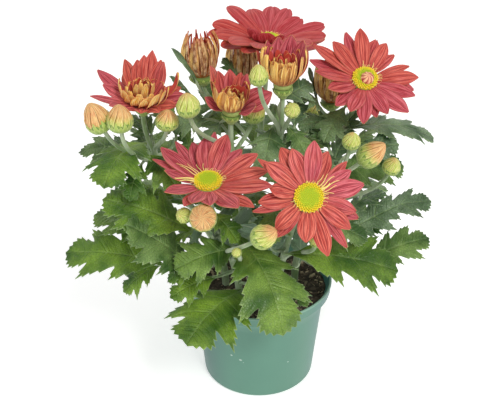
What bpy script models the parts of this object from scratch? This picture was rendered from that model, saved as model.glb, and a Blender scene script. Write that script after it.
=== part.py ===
"""Pot chrysanthemum: a red daisy-flowered plant in a small round nursery pot.

Lengths in the tables are millimetres. X runs to the right, Y to the back, Z up, and the origin is
the centre of the pot's base. The plant is a few leafy stems that branch below their flower heads.
"""
import math

import bmesh
import bpy
import numpy as np

MM = 0.001
GAP = 0.3

# The pot
POT_HEIGHT = 78.0
POT_BASE_RADIUS = 40.9
POT_WALL_TOP_RADIUS = 47.6
POT_RIM_RADIUS = 52.5
POT_RIM_HEIGHT = 9.0
POT_WALL = 1.6
POT_FLOOR = 2.0
POT_EDGE = 1.5
POT_SIDES = 28
DRAIN_COUNT = 4
DRAIN_RADIUS = 5.0
DRAIN_CIRCLE = 25.0
HOLE_SIDES = 8

# The soil
SOIL_TOP = 70.0
SOIL_SIDES = 24
SOIL_LUMP = 1.3
STEM_FOOT = 46.0
STEM_RADIUS = 2.6
STEM_TOP_RADIUS = 1.5
TWIG_RADIUS = 1.3
STEM_STEPS = 8
TWIG_STEPS = 3
BLOOM_NECK = 9.0
BUD_NECK = 0.5
BRUSH_LIFT = 3.8

# Blades
LEAF_THICKNESS = 0.8
LEAF_ROOT_THICKNESS = 1.5
PETIOLE_RADIUS = 1.0
PETIOLE_END_RADIUS = 0.45
PETIOLE_SUNK = 2.0
LONG_PETIOLE = 20.0
PETAL_THICKNESS = 0.8
PETAL_ROOT = 6.0
FLAT_ANGLE = 0.01
# Outline of a leaf in shares of its length: place on the midrib, place of the edge, half width
LARGE_LEAF = (
    (0.00, 0.00, 0.03), (0.30, 0.45, 0.34), (0.39, 0.47, 0.18), (0.47, 0.58, 0.29),
    (0.56, 0.76, 0.36), (0.68, 0.74, 0.17), (0.82, 0.88, 0.20), (1.00, 1.00, 0.01),
)
SMALL_LEAF = (
    (0.00, 0.00, 0.03), (0.25, 0.40, 0.32), (0.40, 0.45, 0.17), (0.56, 0.73, 0.34), (0.70, 0.75, 0.16),
    (1.00, 1.00, 0.01),
)
STRAP_LEAF = ((0.00, 0.00, 0.05), (0.30, 0.30, 0.09), (0.75, 0.75, 0.12), (1.00, 1.00, 0.04))
LEAF_DISH = 0.06
# Width of a petal from root to tip: place, share of its full half width
PETAL_WIDTHS = ((0.0, 0.36), (0.32, 0.86), (0.70, 1.0), (1.0, 0.20))
HEART_WIDTHS = ((0.0, 0.5), (0.6, 1.0), (1.0, 0.35))
BRUSH_WIDTHS = ((0.0, 0.5), (0.6, 1.0), (1.0, 0.25))
PETAL_STEPS = 24
# Rise of a petal's edge over its middle, as a share of the distance, by which neighbours overlap like tiles
PETAL_TUCK = 0.12
# How far a petal strays from its place in the ring: turn in radians, tip lift in degrees, share of length
PETAL_STRAY = (0.07, 4.0, 0.06)
# The back petals of a half-open bloom, from first to last, in degrees round the head
FAN = (36, 72, 108, 144)

RED = (0.62, 0.07, 0.06)
GOLD = (0.80, 0.50, 0.10)
DISC_GREEN = (0.62, 0.70, 0.08)
BUD_PINK = (0.78, 0.42, 0.22)
LEAF_GREEN = (0.13, 0.28, 0.05)
POT_GREEN = (0.22, 0.45, 0.33)
SOIL_BROWN = (0.05, 0.035, 0.028)

# Each leafy stem: where it leaves the soil, and the head that ends it
STEMS = {
    "stem_left": ((-24, 0), "bloom_left"),
    "stem_front_left": ((-14, -20), "bloom_front_left"),
    "stem_middle": ((-6, -3), "bloom_middle"),
    "stem_front_right": ((13, -20), "bloom_front_right"),
    "stem_top": ((9, 3), "bloom_top"),
    "stem_back": ((-8, 20), "bloom_back"),
    "stem_right": ((26, 2), "bloom_right"),
}

# Open blooms: stem, centre of the disc, aim, petal reach, disc radius, lift at root and tip,
# petals in each layer and their half width
OPEN_BLOOMS = {
    "bloom_front_right": ("stem_front_right", (28, -70, 180), (0.02, -0.86, 0.50), 33, 8.9, (2, 2), (11, 8), 5.4),
    "bloom_front_left": ("stem_front_left", (-32, -50, 180), (-0.02, -0.24, 0.97), 35, 8.8, (15, 20), (10, 8), 5.4),
    "bloom_right": ("stem_right", (67, 4, 226), (0.05, -0.62, 0.79), 35, 8.3, (13, 10), (11, 7), 5.4),
    "bloom_back": ("stem_back", (6, 49, 238), (0.03, -0.03, 1.00), 40, 7.9, (20, 15), (10, 7), 6.4),
}
# Half-open blooms: stem, centre, aim, petal length, lift at root and tip of the spread petals, of the fan of
# petals at the back, and of the short petals of the heart, whose length is a share of the others'
CUPPED_BLOOMS = {
    "bloom_left": ("stem_left", (-73, -14, 219), (0.09, -0.14, 0.98), 27, (12, 26), (50, 76), (58, 104), 0.54),
    "bloom_middle": ("stem_middle", (-18, -13, 213), (0.05, -0.15, 0.98), 24, (26, 44), (60, 84), (60, 100), 0.58),
    "bloom_top": ("stem_top", (14, -9, 229), (0.0, -0.08, 1.0), 25, (44, 72), (58, 82), (66, 96), 0.76),
}
# Tight heads whose petals still stand upright: stem, centre of the base, aim, length, radius
BRUSH_HEADS = {
    "brush_left": ("stem_back", (-38, 20, 223), (-0.05, -0.05, 1.0), 22, 10.6),
    "brush_back": ("stem_back", (-11, 46, 211), (-0.05, 0.05, 1.0), 22, 8.4),
    "brush_right": ("stem_right", (49, 30, 201), (-0.05, -0.05, 1.0), 22, 9.0),
}
# The closed knob on a disc: its place across the disc, and its radius
KNOBS = {"bloom_right_disc": ((0.8, -1.6), 4.2)}
# Closed buds: stem, centre of the base, aim, length, radius; the share of a bud that its green cup covers
BUD_CUT = 0.35
BUDS = {
    "bud_far_left": ("stem_left", (-96, -33, 207), (-0.32, -0.20, 0.93), 20, 8.0),
    "bud_left": ("stem_left", (-84, -40, 210), (0.0, -0.12, 0.99), 17, 7.6),
    "bud_left_inner": ("stem_left", (-58, -26, 205), (0.10, -0.15, 0.98), 13, 7.0),
    "bud_middle_left": ("stem_middle", (-43, -33, 217), (-0.10, -0.20, 0.97), 15, 7.0),
    "bud_middle_right": ("stem_middle", (-5, 0, 199), (0.14, -0.20, 0.97), 16, 7.2),
    "bud_top": ("stem_top", (-1, -32, 236), (-0.08, -0.15, 0.98), 13, 5.4),
    "bud_top_low": ("stem_top", (19, -30, 217), (0.0, -0.70, 0.71), 9, 4.6),
    "bud_right_upper": ("stem_right", (55, -36, 197), (0.08, -0.30, 0.95), 11, 5.4),
    "bud_right": ("stem_right", (63, -31, 184), (0.66, -0.20, 0.72), 20, 7.4),
    "bud_right_lower": ("stem_right", (83, -22, 173), (0.20, -0.35, 0.92), 12, 5.6),
    "bud_front_left": ("stem_front_left", (-34, -70, 166), (-0.02, -0.86, 0.51), 15, 8.0),
    "bud_front_left_small": ("stem_front_left", (-45, -62, 163), (-0.35, -0.80, 0.49), 10, 4.6),
    "bud_front": ("stem_front_left", (-3, -84, 159), (0.66, -0.40, 0.64), 17, 7.0),
    "bud_front_right": ("stem_front_right", (34, -64, 145), (0.0, -0.50, 0.86), 9, 4.2),
    "bud_front_small": ("stem_front_left", (-14, -78, 146), (-0.2, -0.6, 0.77), 6, 2.8),
    "bud_rear": ("stem_top", (38, 62, 172), (0.30, 0.50, 0.81), 15, 6.6),
    "bud_rear_left": ("stem_back", (-48, 58, 172), (-0.40, 0.45, 0.80), 14, 6.2),
}

# Leaves of each stem: outline, base and tip of the blade, arch as a share of its length, roll in degrees
# (a positive roll lifts the edge on the left of someone who looks from base to tip), and breadth
LEAVES = {
    "stem_left": (
        ("large", (-64, -32, 108), (-131, -25, 113), 0.10, -24, 0.82),
        ("small", (-68, -30, 106), (-92, -38, 90), 0.10, -10, 1.20),
        ("large", (-66, -10, 116), (-114, -4, 130), 0.10, -15, 1.00),
        ("large", (-75, -4, 185), (-97, -44, 172), 0.18, 10, 1.35),
        ("small", (-80, 10, 174), (-122, 6, 173), 0.10, -20, 0.90),
        ("large", (-58, -6, 146), (-98, -20, 142), 0.14, -20, 1.10),
        ("small", (-48, 24, 122), (-106, 44, 120), 0.14, 0, 1.00),
        ("small", (-52, 24, 156), (-96, 50, 160), 0.14, 0, 1.00),
        ("small", (-71, -8, 189), (-62, -8, 210), 0.08, 0, 1.20),
        ("small", (-72, -14, 180), (-52, -36, 168), 0.12, 20, 1.15),
        ("small", (-76, -22, 178), (-82, -42, 162), 0.12, 0, 1.10),
        ("small", (-74, 4, 183), (-86, 10, 199), 0.12, 0, 1.20),
        ("small", (-56, 6, 187), (-68, 16, 205), 0.12, 0, 1.30),
    ),
    "stem_front_left": (
        ("large", (-46, -42, 110), (-84, -52, 151), 0.10, -30, 1.15),
        ("large", (-44, -36, 136), (-101, -32, 158), 0.10, -25, 0.90),
        ("large", (-15, -44, 128), (-54, -62, 124), 0.12, -25, 1.10),
        ("large", (-11, -48, 99), (-46, -90, 87), 0.12, 0, 1.40),
        ("small", (-30, -44, 106), (-58, -60, 101), 0.10, -20, 1.10),
        ("large", (-14, -36, 132), (14, -91, 95), 0.14, -10, 0.95),
        ("small", (-31, -40, 153), (-14, -50, 136), 0.12, 15, 1.20),
    ),
    "stem_middle": (
        ("small", (-35, 4, 198), (-58, 2, 191), 0.12, -35, 1.15),
        ("small", (-6, -12, 152), (-2, -40, 158), 0.14, 0, 1.10),
        ("small", (-25, 0, 198), (-36, -8, 184), 0.12, -10, 1.30),
    ),
    "stem_front_right": (
        ("large", (20, -44, 124), (90, -47, 113), 0.08, 20, 0.85),
        ("small", (14, -46, 106), (30, -66, 98), 0.10, 0, 1.00),
        ("large", (26, -34, 142), (68, -50, 138), 0.12, 10, 0.85),
        ("small", (10, -30, 152), (6, -64, 144), 0.12, 0, 1.00),
    ),
    "stem_top": (
        ("large", (22, -6, 178), (42, -40, 182), 0.14, 0, 1.00),
        ("large", (8, -4, 196), (2, -32, 176), 0.12, 0, 1.00),
        ("small", (18, -4, 196), (30, -22, 182), 0.12, 10, 1.10),
        ("small", (16, 8, 211), (34, 14, 219), 0.10, 30, 1.60),
        ("large", (22, 34, 128), (52, 88, 124), 0.16, 0, 1.00),
        ("small", (18, 30, 96), (24, 92, 92), 0.16, 0, 1.00),
        ("large", (24, 36, 154), (58, 78, 152), 0.16, 0, 1.00),
        ("small", (23, 10, 190), (28, 22, 207), 0.12, 0, 1.30),
    ),
    "stem_back": (
        ("small", (-14, 40, 98), (-34, 98, 94), 0.16, 0, 1.00),
        ("small", (-18, 42, 130), (-22, 100, 132), 0.16, 0, 1.00),
        ("small", (-26, 36, 112), (-74, 70, 106), 0.16, 0, 1.00),
        ("small", (-4, 46, 160), (2, 94, 162), 0.16, 0, 1.00),
        ("small", (-26, 36, 156), (-58, 66, 146), 0.14, 0, 1.00),
        ("small", (-44, 16, 206), (-59, 14, 224), 0.08, 0, 1.10),
        ("strap", (-41, 4, 224), (-56, 8, 245), 0.06, 0, 1.20),
        ("large", (-12, 10, 184), (-36, 30, 192), 0.12, -20, 1.10),
        ("small", (-15, 30, 214), (-25, 34, 230), 0.08, 0, 1.30),
        ("small", (-36, 26, 200), (-33, 32, 218), 0.12, 0, 1.20),
    ),
    "stem_right": (
        ("large", (72, -28, 108), (114, -22, 123), 0.10, 25, 0.95),
        ("small", (60, -10, 120), (94, -8, 140), 0.08, 40, 1.00),
        ("large", (42, 6, 112), (92, 14, 120), 0.12, 20, 1.00),
        ("large", (72, -4, 130), (118, 0, 139), 0.08, 20, 0.75),
        ("large", (50, 2, 158), (98, 6, 162), 0.12, 30, 0.90),
        ("large", (58, 12, 187), (119, 18, 178), 0.12, 5, 0.75),
        ("small", (56, 14, 202), (42, -2, 184), 0.10, -10, 1.20),
        ("strap", (39, 32, 202), (33, 34, 223), 0.04, 0, 1.60),
        ("small", (48, 32, 124), (96, 62, 118), 0.14, 0, 1.00),
        ("large", (54, 20, 190), (26, 20, 186), 0.10, -35, 1.00),
        ("small", (64, 2, 176), (93, 4, 180), 0.08, 40, 1.20),
        ("small", (41, 18, 200), (26, 10, 213), 0.10, -20, 1.40),
        ("small", (50, 4, 163), (58, 12, 181), 0.12, 0, 1.20),
    ),
}
OUTLINES = {"large": LARGE_LEAF, "small": SMALL_LEAF, "strap": STRAP_LEAF}


def vec(values):
    """Three numbers as an array."""
    return np.array(values, float)


def unit(vector):
    """The vector at length one."""
    return vector / np.linalg.norm(vector)


def sway(seed, index):
    """A fixed irregular value between -1 and 1 for one of a row of repeats."""
    return math.sin(12.9898 * index + 78.233 * seed)


def material(name, colour, roughness):
    """A plain Principled material."""
    found = bpy.data.materials.get(name)
    if found:
        return found
    made = bpy.data.materials.new(name)
    made.use_nodes = True
    shader = made.node_tree.nodes["Principled BSDF"]
    shader.inputs["Base Color"].default_value = (*colour, 1.0)
    shader.inputs["Roughness"].default_value = roughness
    return made


def add_solid(name, points, faces):
    """An object from points in millimetres, with its faces turned outwards."""
    mesh = bpy.data.meshes.new(name)
    mesh.from_pydata((np.asarray(points) * MM).tolist(), [], faces)
    shape = bmesh.new()
    shape.from_mesh(mesh)
    bmesh.ops.recalc_face_normals(shape, faces=shape.faces)
    shape.to_mesh(mesh)
    shape.free()
    made = bpy.data.objects.new(name, mesh)
    bpy.context.scene.collection.objects.link(made)
    return made


def turned(profile, sides, ridges=None):
    """Points and faces of a closed profile of radius and height turned round Z; radius 0 makes a pole."""
    points, rings = [], []
    for row, (radius, height) in enumerate(profile):
        if radius == 0:
            rings.append([len(points)] * sides)
            points.append((0.0, 0.0, height))
            continue
        rings.append([len(points) + k for k in range(sides)])
        for k in range(sides):
            angle = 2 * math.pi * k / sides
            reach = radius * (ridges[row][k % 2] if ridges else 1.0)
            points.append((reach * math.cos(angle), reach * math.sin(angle), height))
    faces = []
    for low, high in zip(rings, rings[1:]):
        for k in range(sides):
            after = (k + 1) % sides
            corners = [low[k], low[after], high[after], high[k]]
            faces.append([c for i, c in enumerate(corners) if c not in corners[:i]])
    return np.array(points), faces


def blade(rows, normals, thickness):
    """Points and faces of a thin closed sheet: rows of middle points, each row with its own thickness.

    Both faces are split into the same triangles, mirrored about the middle column.
    """
    count, columns = rows.shape[:2]
    half = 0.5 * np.asarray(thickness).reshape(count, 1, 1)
    points = np.concatenate([(rows + normals * half).reshape(-1, 3), (rows - normals * half).reshape(-1, 3)])
    under = count * columns
    faces = []
    for r in range(count - 1):
        for c in range(columns - 1):
            a, b = r * columns + c, r * columns + c + 1
            d, e = a + columns, b + columns
            split = ((a, b, e), (a, e, d)) if 2 * c + 1 >= columns - 1 else ((a, b, d), (b, e, d))
            faces += [list(face) for face in split]
            faces += [[corner + under for corner in reversed(face)] for face in split]
    loop = [c for c in range(columns)]
    loop += [r * columns + columns - 1 for r in range(1, count)]
    loop += [(count - 1) * columns + c for c in range(columns - 2, -1, -1)]
    loop += [r * columns for r in range(count - 2, 0, -1)]
    for here, after in zip(loop, loop[1:] + loop[:1]):
        faces.append([here, here + under, after + under])
        faces.append([here, after + under, after])
    return points, faces


def bezier(p0, p1, p2, p3, steps):
    """Points along a cubic curve."""
    t = np.linspace(0, 1, steps + 1)[:, None]
    return (1 - t) ** 3 * p0 + 3 * (1 - t) ** 2 * t * p1 + 3 * (1 - t) * t * t * p2 + t ** 3 * p3


def tube(path, radii, sides):
    """Points and faces of a closed tube along a path, its rings carried on without twist."""
    path = np.asarray(path, float)
    along = np.diff(path, axis=0)
    along = np.vstack([along[:1], along])
    across = vec((1, 0.2, 0))
    points = []
    for centre, direction, radius in zip(path, along, radii):
        direction = unit(direction)
        across = unit(across - direction * (across @ direction))
        other = np.cross(direction, across)
        for k in range(sides):
            angle = 2 * math.pi * k / sides
            points.append(centre + radius * (math.cos(angle) * across + math.sin(angle) * other))
    faces = []
    for r in range(len(path) - 1):
        for k in range(sides):
            a, b = r * sides + k, r * sides + (k + 1) % sides
            faces += [[a, b, b + sides], [a, b + sides, a + sides]]
    faces.append(list(range(sides))[::-1])
    faces.append([(len(path) - 1) * sides + k for k in range(sides)])
    return np.array(points), faces


def head_axes(aim):
    """Two directions across a head, and its aim."""
    aim = unit(vec(aim))
    first = unit(np.cross(vec((0, 1, 0)), aim))
    return np.stack([first, np.cross(aim, first), aim])


def place(points, centre, aim):
    """Points of a head's own frame carried to where it grows."""
    return vec(centre) + points @ head_axes(aim)


def petal(turn, root, start, lifts, length, width, widths=PETAL_WIDTHS):
    """A strap that leaves the head's axis at a root radius, its slope running from one lift to another."""
    slope = np.radians(np.linspace(lifts[0], lifts[1], PETAL_STEPS))
    step = length / PETAL_STEPS
    reach = root + np.concatenate([[0], np.cumsum(np.cos(slope))]) * step
    height = start + np.concatenate([[0], np.cumsum(np.sin(slope))]) * step
    out = vec((math.cos(turn), math.sin(turn), 0))
    side = vec((-math.sin(turn), math.cos(turn), 0))
    rows, normals = [], []
    for place_along, share in widths:
        i = round(place_along * PETAL_STEPS)
        angle = slope[min(i, PETAL_STEPS - 1)]
        centre = out * reach[i] + vec((0, 0, height[i]))
        up = vec((0, 0, 1)) * math.cos(angle) - out * math.sin(angle)
        edge = (side + up * PETAL_TUCK * min(1.0, 2.5 * place_along)) * width * share
        rows.append([centre - edge, centre + edge])
        normals.append([up, up])
    return blade(np.array(rows), np.array(normals), [PETAL_THICKNESS] * len(rows))


def all_round(count, phase):
    """Angles of petals evenly round a head."""
    return [2 * math.pi * (k + phase) / count for k in range(count)]


def petal_ring(seed, turns, root, start, lifts, length, width, widths=PETAL_WIDTHS):
    """Petals at given angles round a head, each with its own small turn, lift and length."""
    stray_turn, stray_lift, stray_length = PETAL_STRAY
    made = []
    for k, turn in enumerate(turns):
        turn = turn + stray_turn * sway(seed, k)
        lifted = (lifts[0], lifts[1] + stray_lift * sway(seed + 1, k))
        own = length * (1 + stray_length * sway(seed + 2, k))
        made.append(petal(turn, root, start, lifted, own, width, widths))
    return made


def fuse(name, shapes, solver="EXACT"):
    """One body from many closed shapes, by a Boolean union on a collection."""
    body = add_solid(name, *shapes[0])
    group = bpy.data.collections.new(name + "_pieces")
    bpy.context.scene.collection.children.link(group)
    for points, faces in shapes[1:]:
        piece = add_solid(name + "_piece", points, faces)
        bpy.context.scene.collection.objects.unlink(piece)
        group.objects.link(piece)
    union = body.modifiers.new("union", "BOOLEAN")
    union.operation = "UNION"
    union.operand_type = "COLLECTION"
    union.collection = group
    union.solver = solver
    bpy.context.view_layer.update()
    seen = body.evaluated_get(bpy.context.evaluated_depsgraph_get())
    joined = bpy.data.meshes.new_from_object(seen)
    body.modifiers.clear()
    body.data = joined
    for piece in list(group.objects):
        bpy.data.objects.remove(piece)
    bpy.data.collections.remove(group)
    keep_main_body(joined)
    return body


def keep_main_body(mesh):
    """Drop every scrap that isn't joined to the largest body."""
    shape = bmesh.new()
    shape.from_mesh(mesh)
    bmesh.ops.dissolve_limit(shape, angle_limit=FLAT_ANGLE, verts=shape.verts, edges=shape.edges)
    bmesh.ops.triangulate(shape, faces=shape.faces)
    waiting, groups = set(shape.verts), []
    while waiting:
        stack, group = [waiting.pop()], []
        while stack:
            vert = stack.pop()
            group.append(vert)
            for edge in vert.link_edges:
                other = edge.other_vert(vert)
                if other in waiting:
                    waiting.remove(other)
                    stack.append(other)
        groups.append(group)
    groups.sort(key=len)
    for group in groups[:-1]:
        bmesh.ops.delete(shape, geom=group, context="VERTS")
    shape.to_mesh(mesh)
    shape.free()


def head_profile(share):
    """Radius of a closed bud, as a share of its widest, at a share of its height."""
    return math.sin(math.pi * min(1.0, 0.12 + 0.88 * share ** 0.8)) ** 0.62


def placed(shapes, centre, aim):
    """The shapes of a head, carried to where it grows."""
    return [(place(points, centre, aim), faces) for points, faces in shapes]


def open_bloom(name, centre, aim, reach, disc, lifts, counts, width):
    """Two layers of ray petals on a plate, and the disc of small florets that sits on it."""
    root = PETAL_ROOT
    top = -GAP - 0.6 * PETAL_THICKNESS - (disc - root) * math.tan(math.radians(lifts[0]))
    plate = [(0, -3.8), (disc - 0.6, -3.8), (disc + 0.4, -2.6), (disc + 0.4, -GAP), (0, -GAP)]
    seed, length = len(name), reach - root
    lower = (lifts[0] - 5, lifts[1] - 7)
    shapes = [turned(plate, 10)]
    shapes += petal_ring(seed, all_round(counts[0], 0.0), root, top, lifts, length, width)
    shapes += petal_ring(seed + 5, all_round(counts[1], 0.5), root, top - 1.1, lower, length * 0.97, width)
    petals = fuse(name + "_petals", placed(shapes, centre, aim))
    petals.data.materials.append(material("petal_red", RED, 0.55))
    florets = disc_florets(name + "_disc", centre, aim, disc)
    florets.data.materials.append(material("disc_green", DISC_GREEN, 0.6))


def disc_florets(name, centre, aim, disc):
    """The ridged dome of florets; on the right bloom the innermost petals still stand on it as a closed knob."""
    dome = [(0, 0), (disc, 0), (disc, 1.5), (disc * 0.78, 2.9), (disc * 0.45, 3.3), (0, 2.5)]
    ridges = [(1, 1), (1, 1), (1.0, 0.93), (0.94, 1.05), (1.08, 0.9), (1, 1)]
    shapes = [turned(dome, 12, ridges)]
    if name in KNOBS:
        across, radius = KNOBS[name]
        knob = [(0, 1.0), (radius * 0.8, 1.0), (radius, 3.6), (radius * 0.75, 6.0), (0, 7.0)]
        points, faces = turned(knob, 8, [(1, 1), (1, 1), (1, 0.93), (1, 0.9), (1, 1)])
        shapes.append((points + vec((*across, 0)), faces))
    return fuse(name, placed(shapes, centre, aim))


def cupped_bloom(name, centre, aim, length, spread, fan, upright, heart_share):
    """A half-open bloom: spread petals, a fan of petals that stands at its back, and the heart, whose short
    petals curve in and show their golden backs."""
    plate = [(0, -3.8), (5.4, -3.8), (6.2, -2.6), (6.2, -GAP), (0, -GAP)]
    seed = len(name)
    shapes = [turned(plate, 8)]
    shapes += petal_ring(seed, all_round(7, 0.25), 4.8, -1.9, spread, length, 5.0)
    shapes += petal_ring(seed + 3, np.radians(FAN), 4.6, -1.3, fan, length, 5.2)
    petals = fuse(name + "_petals", placed(shapes, centre, aim))
    petals.data.materials.append(material("petal_red", RED, 0.55))
    core = [(0, 0), (4.4, 0), (4.4, 2.0), (0, 4.6)]
    shapes = [turned(core, 7)]
    shapes += petal_ring(seed + 7, all_round(6, 0.5), 3.6, 0.9, upright, length * heart_share, 2.8, HEART_WIDTHS)
    heart = fuse(name + "_heart", placed(shapes, centre, aim))
    heart.data.materials.append(material("petal_gold", GOLD, 0.55))


def brush_head(name, centre, aim, length, radius):
    """A tight head: upright petals that stand out of a slim core."""
    core = [(0, 0), (radius * 0.5, 0), (radius * 0.8, length * 0.2), (radius * 0.78, length * 0.5),
            (radius * 0.4, length * 0.72), (0, length * 0.76)]
    seed, root = len(name), radius * 0.5
    shapes = [turned(core, 7)]
    shapes += petal_ring(seed, all_round(7, 0.0), root, 1.0, (50, 112), length * 1.08, 2.5, BRUSH_WIDTHS)
    inner = (radius * 0.34, length * 0.5, (84, 94), length * 0.44, 2.2, BRUSH_WIDTHS)
    shapes += petal_ring(seed + 2, all_round(3, 0.3), *inner)
    head = fuse(name, placed(shapes, centre, aim))
    head.data.materials.append(material("petal_gold", GOLD, 0.55))


def bud(name, centre, aim, length, radius):
    """The closed, ridged petals of a bud, above its green cup."""
    shares = (BUD_CUT, 0.62, 0.86)
    rows = [(0, length * BUD_CUT)] + [(radius * head_profile(s), length * s) for s in shares] + [(0, length)]
    ridges = [(1, 1), (1.0, 0.97), (1.0, 0.86), (1.0, 0.8), (1, 1)]
    points, faces = turned(rows, 8, ridges)
    head = add_solid(name, place(points, centre, aim), faces)
    head.data.materials.append(material("bud_pink", BUD_PINK, 0.55))


def bud_cup(centre, aim, length, radius):
    """The green cup of scales under a bud."""
    cut = length * BUD_CUT - GAP
    rows = [(0, -2.0), (TWIG_RADIUS + 0.3, -2.0), (radius * head_profile(0.12), length * 0.12),
            (radius * head_profile(BUD_CUT), cut), (0, cut)]
    ridges = [(1, 1), (1, 1), (1, 0.92), (1, 0.95), (1, 1)]
    points, faces = turned(rows, 6, ridges)
    return place(points, centre, aim), faces


def bloom_cup(centre, aim, radius):
    """The green cup under an open bloom."""
    rows = [(0, -11.0), (STEM_TOP_RADIUS + 0.3, -11.0), (radius * 0.62, -8.8), (radius, -5.4), (radius * 0.97, -4.1),
            (0, -4.1)]
    points, faces = turned(rows, 6, [(1, 1), (1, 1), (1, 0.9), (1, 0.93), (1, 0.95), (1, 1)])
    return place(points, centre, aim), faces


def heads_of(stem):
    """Path end, aim and cup of each head of a stem, the one that ends it first."""
    found = {}
    for name, (owner, centre, aim, _, disc, *_) in OPEN_BLOOMS.items():
        if owner == stem:
            found[name] = head_on(centre, aim, BLOOM_NECK, bloom_cup(centre, aim, disc - 0.6))
    for name, (owner, centre, aim, *_) in CUPPED_BLOOMS.items():
        if owner == stem:
            found[name] = head_on(centre, aim, BLOOM_NECK, bloom_cup(centre, aim, 6.0))
    for name, (owner, centre, aim, _, radius) in BRUSH_HEADS.items():
        if owner == stem:
            raised = vec(centre) + unit(vec(aim)) * BRUSH_LIFT
            found[name] = head_on(raised, aim, BLOOM_NECK, bloom_cup(raised, aim, radius * 0.8))
    for name, (owner, centre, aim, length, radius) in BUDS.items():
        if owner == stem:
            found[name] = head_on(centre, aim, BUD_NECK, bud_cup(centre, aim, length, radius))
    last = found.pop(STEMS[stem][1])
    return [last, *found.values()]


def head_on(centre, aim, neck, cup):
    """Where a head's stalk ends, inside its cup, the head's aim, and the cup."""
    aim = unit(vec(aim))
    return vec(centre) - aim * neck, aim, cup


def stem_path(foot, end, aim):
    """The stem's middle line: straight up out of its hole, then a curve to the cup of the head that ends it."""
    collar = vec((*foot, SOIL_TOP + 3.0))
    rise = end[2] - collar[2]
    curve = bezier(collar, collar + vec((0, 0, 0.35 * rise)), end - aim * 0.32 * rise, end, STEM_STEPS)
    return np.vstack([vec((*foot, STEM_FOOT)), curve])


def twig_path(trunk, end, aim):
    """The curve from a fork on the stem to a side head."""
    away = np.hypot(*(trunk[:, :2] - end[:2]).T)
    fork = int(np.argmin(np.abs(trunk[:, 2] + 10 + 0.9 * away - end[2])))
    fork = min(max(fork, 3), len(trunk) - 3)
    start = trunk[fork]
    span = np.linalg.norm(end - start)
    climb = unit(trunk[fork + 1] - start)
    return bezier(start, start + climb * 0.35 * span, end - aim * 0.4 * span, end, TWIG_STEPS)


def leaf_attachment(paths, base):
    """The point of the nearest stem or twig from which a petiole climbs to the blade's base."""
    samples = np.concatenate([path[2:-1] for path in paths])
    away = np.hypot(*(samples[:, :2] - base[:2]).T)
    cost = np.abs(samples[:, 2] + 0.5 * away - base[2]) + 0.6 * away
    return samples[int(np.argmin(cost))]


def leaf(kind, base, tip, arch, roll, breadth):
    """A lobed blade arched along its midrib, and the direction in which it leaves its petiole."""
    base, tip = vec(base), vec(tip)
    length = np.linalg.norm(tip - base)
    along = (tip - base) / length
    up = unit(vec((0, 0, 1)) - along * along[2])
    left = np.cross(up, along)
    turn = math.radians(roll)
    left, up = left * math.cos(turn) + up * math.sin(turn), up * math.cos(turn) - left * math.sin(turn)
    rows, normals, depths = [], [], []
    for share, edge, half in OUTLINES[kind]:
        half = max(half * breadth, 0.5 / length)
        middle = base + along * length * share + up * length * 4 * arch * share * (1 - share)
        rise = 4 * arch * edge * (1 - edge) + LEAF_DISH * half
        rim = base + along * length * edge + up * length * rise
        rows.append([rim + left * length * half, middle, rim - left * length * half])
        slope = unit(along + up * 4 * arch * (1 - 2 * share))
        normals.append([unit(np.cross(slope, left))] * 3)
        depths.append(LEAF_THICKNESS if share > 0 else LEAF_ROOT_THICKNESS)
    return blade(np.array(rows), np.array(normals), depths), unit(along + 4 * arch * up)


def petiole(paths, base, leave):
    """The leaf's stalk: from the nearest stem or twig, up to a little way inside the blade's base."""
    start = leaf_attachment(paths, base)
    span = np.linalg.norm(base - start)
    bend = base - leave * 0.5 * span
    middle = [0.25 * start + 0.5 * bend + 0.25 * base] if span > LONG_PETIOLE else []
    radii = [PETIOLE_RADIUS] * (1 + len(middle)) + [PETIOLE_END_RADIUS]
    return tube([start, *middle, base + leave * PETIOLE_SUNK], radii, 4)


def leafy_stem(name):
    """A stem with its twigs, cups and leaves, as one body."""
    (end, aim, cup), *others = heads_of(name)
    trunk = stem_path(STEMS[name][0], end, aim)
    paths = [trunk]
    shapes = [tube(trunk, np.linspace(STEM_RADIUS, STEM_TOP_RADIUS, len(trunk)), 5), cup]
    for end, aim, cup in others:
        path = twig_path(trunk, end, aim)
        shapes += [tube(path, np.linspace(TWIG_RADIUS + 0.2, TWIG_RADIUS, len(path)), 4), cup]
        paths.append(path)
    for kind, base, *rest in LEAVES[name]:
        grown, leave = leaf(kind, base, *rest)
        shapes += [grown, petiole(paths, vec(base), leave)]
    body = fuse(name, shapes)
    body.data.materials.append(material("leaf_green", LEAF_GREEN, 0.5))


def pot():
    """The moulded pot: a tapered wall, a rim band that stands proud, and drain holes in the floor."""
    step = POT_HEIGHT - POT_RIM_HEIGHT
    rows = [
        (0, 0), (POT_BASE_RADIUS - POT_EDGE, 0), (POT_BASE_RADIUS, POT_EDGE), (POT_WALL_TOP_RADIUS, step),
        (POT_RIM_RADIUS - 1.0, step + 0.8), (POT_RIM_RADIUS, POT_HEIGHT - 0.6), (POT_RIM_RADIUS - 0.6, POT_HEIGHT),
        (POT_RIM_RADIUS - POT_WALL, POT_HEIGHT - 0.4), (POT_RIM_RADIUS - 1.0 - POT_WALL, step + 1.4),
        (POT_WALL_TOP_RADIUS - POT_WALL, step - 0.8), (POT_BASE_RADIUS - POT_WALL, POT_FLOOR), (0, POT_FLOOR),
    ]
    body = add_solid("pot", *turned(rows, POT_SIDES))
    body.data.materials.append(material("pot_green", POT_GREEN, 0.4))
    for k in range(DRAIN_COUNT):
        angle = math.pi / 4 + 2 * math.pi * k / DRAIN_COUNT
        middle = (DRAIN_CIRCLE * math.cos(angle), DRAIN_CIRCLE * math.sin(angle))
        bore(body, "drain", middle, DRAIN_RADIUS, -2.0, POT_FLOOR + 2.0, HOLE_SIDES)
    shade_round(body)


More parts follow.
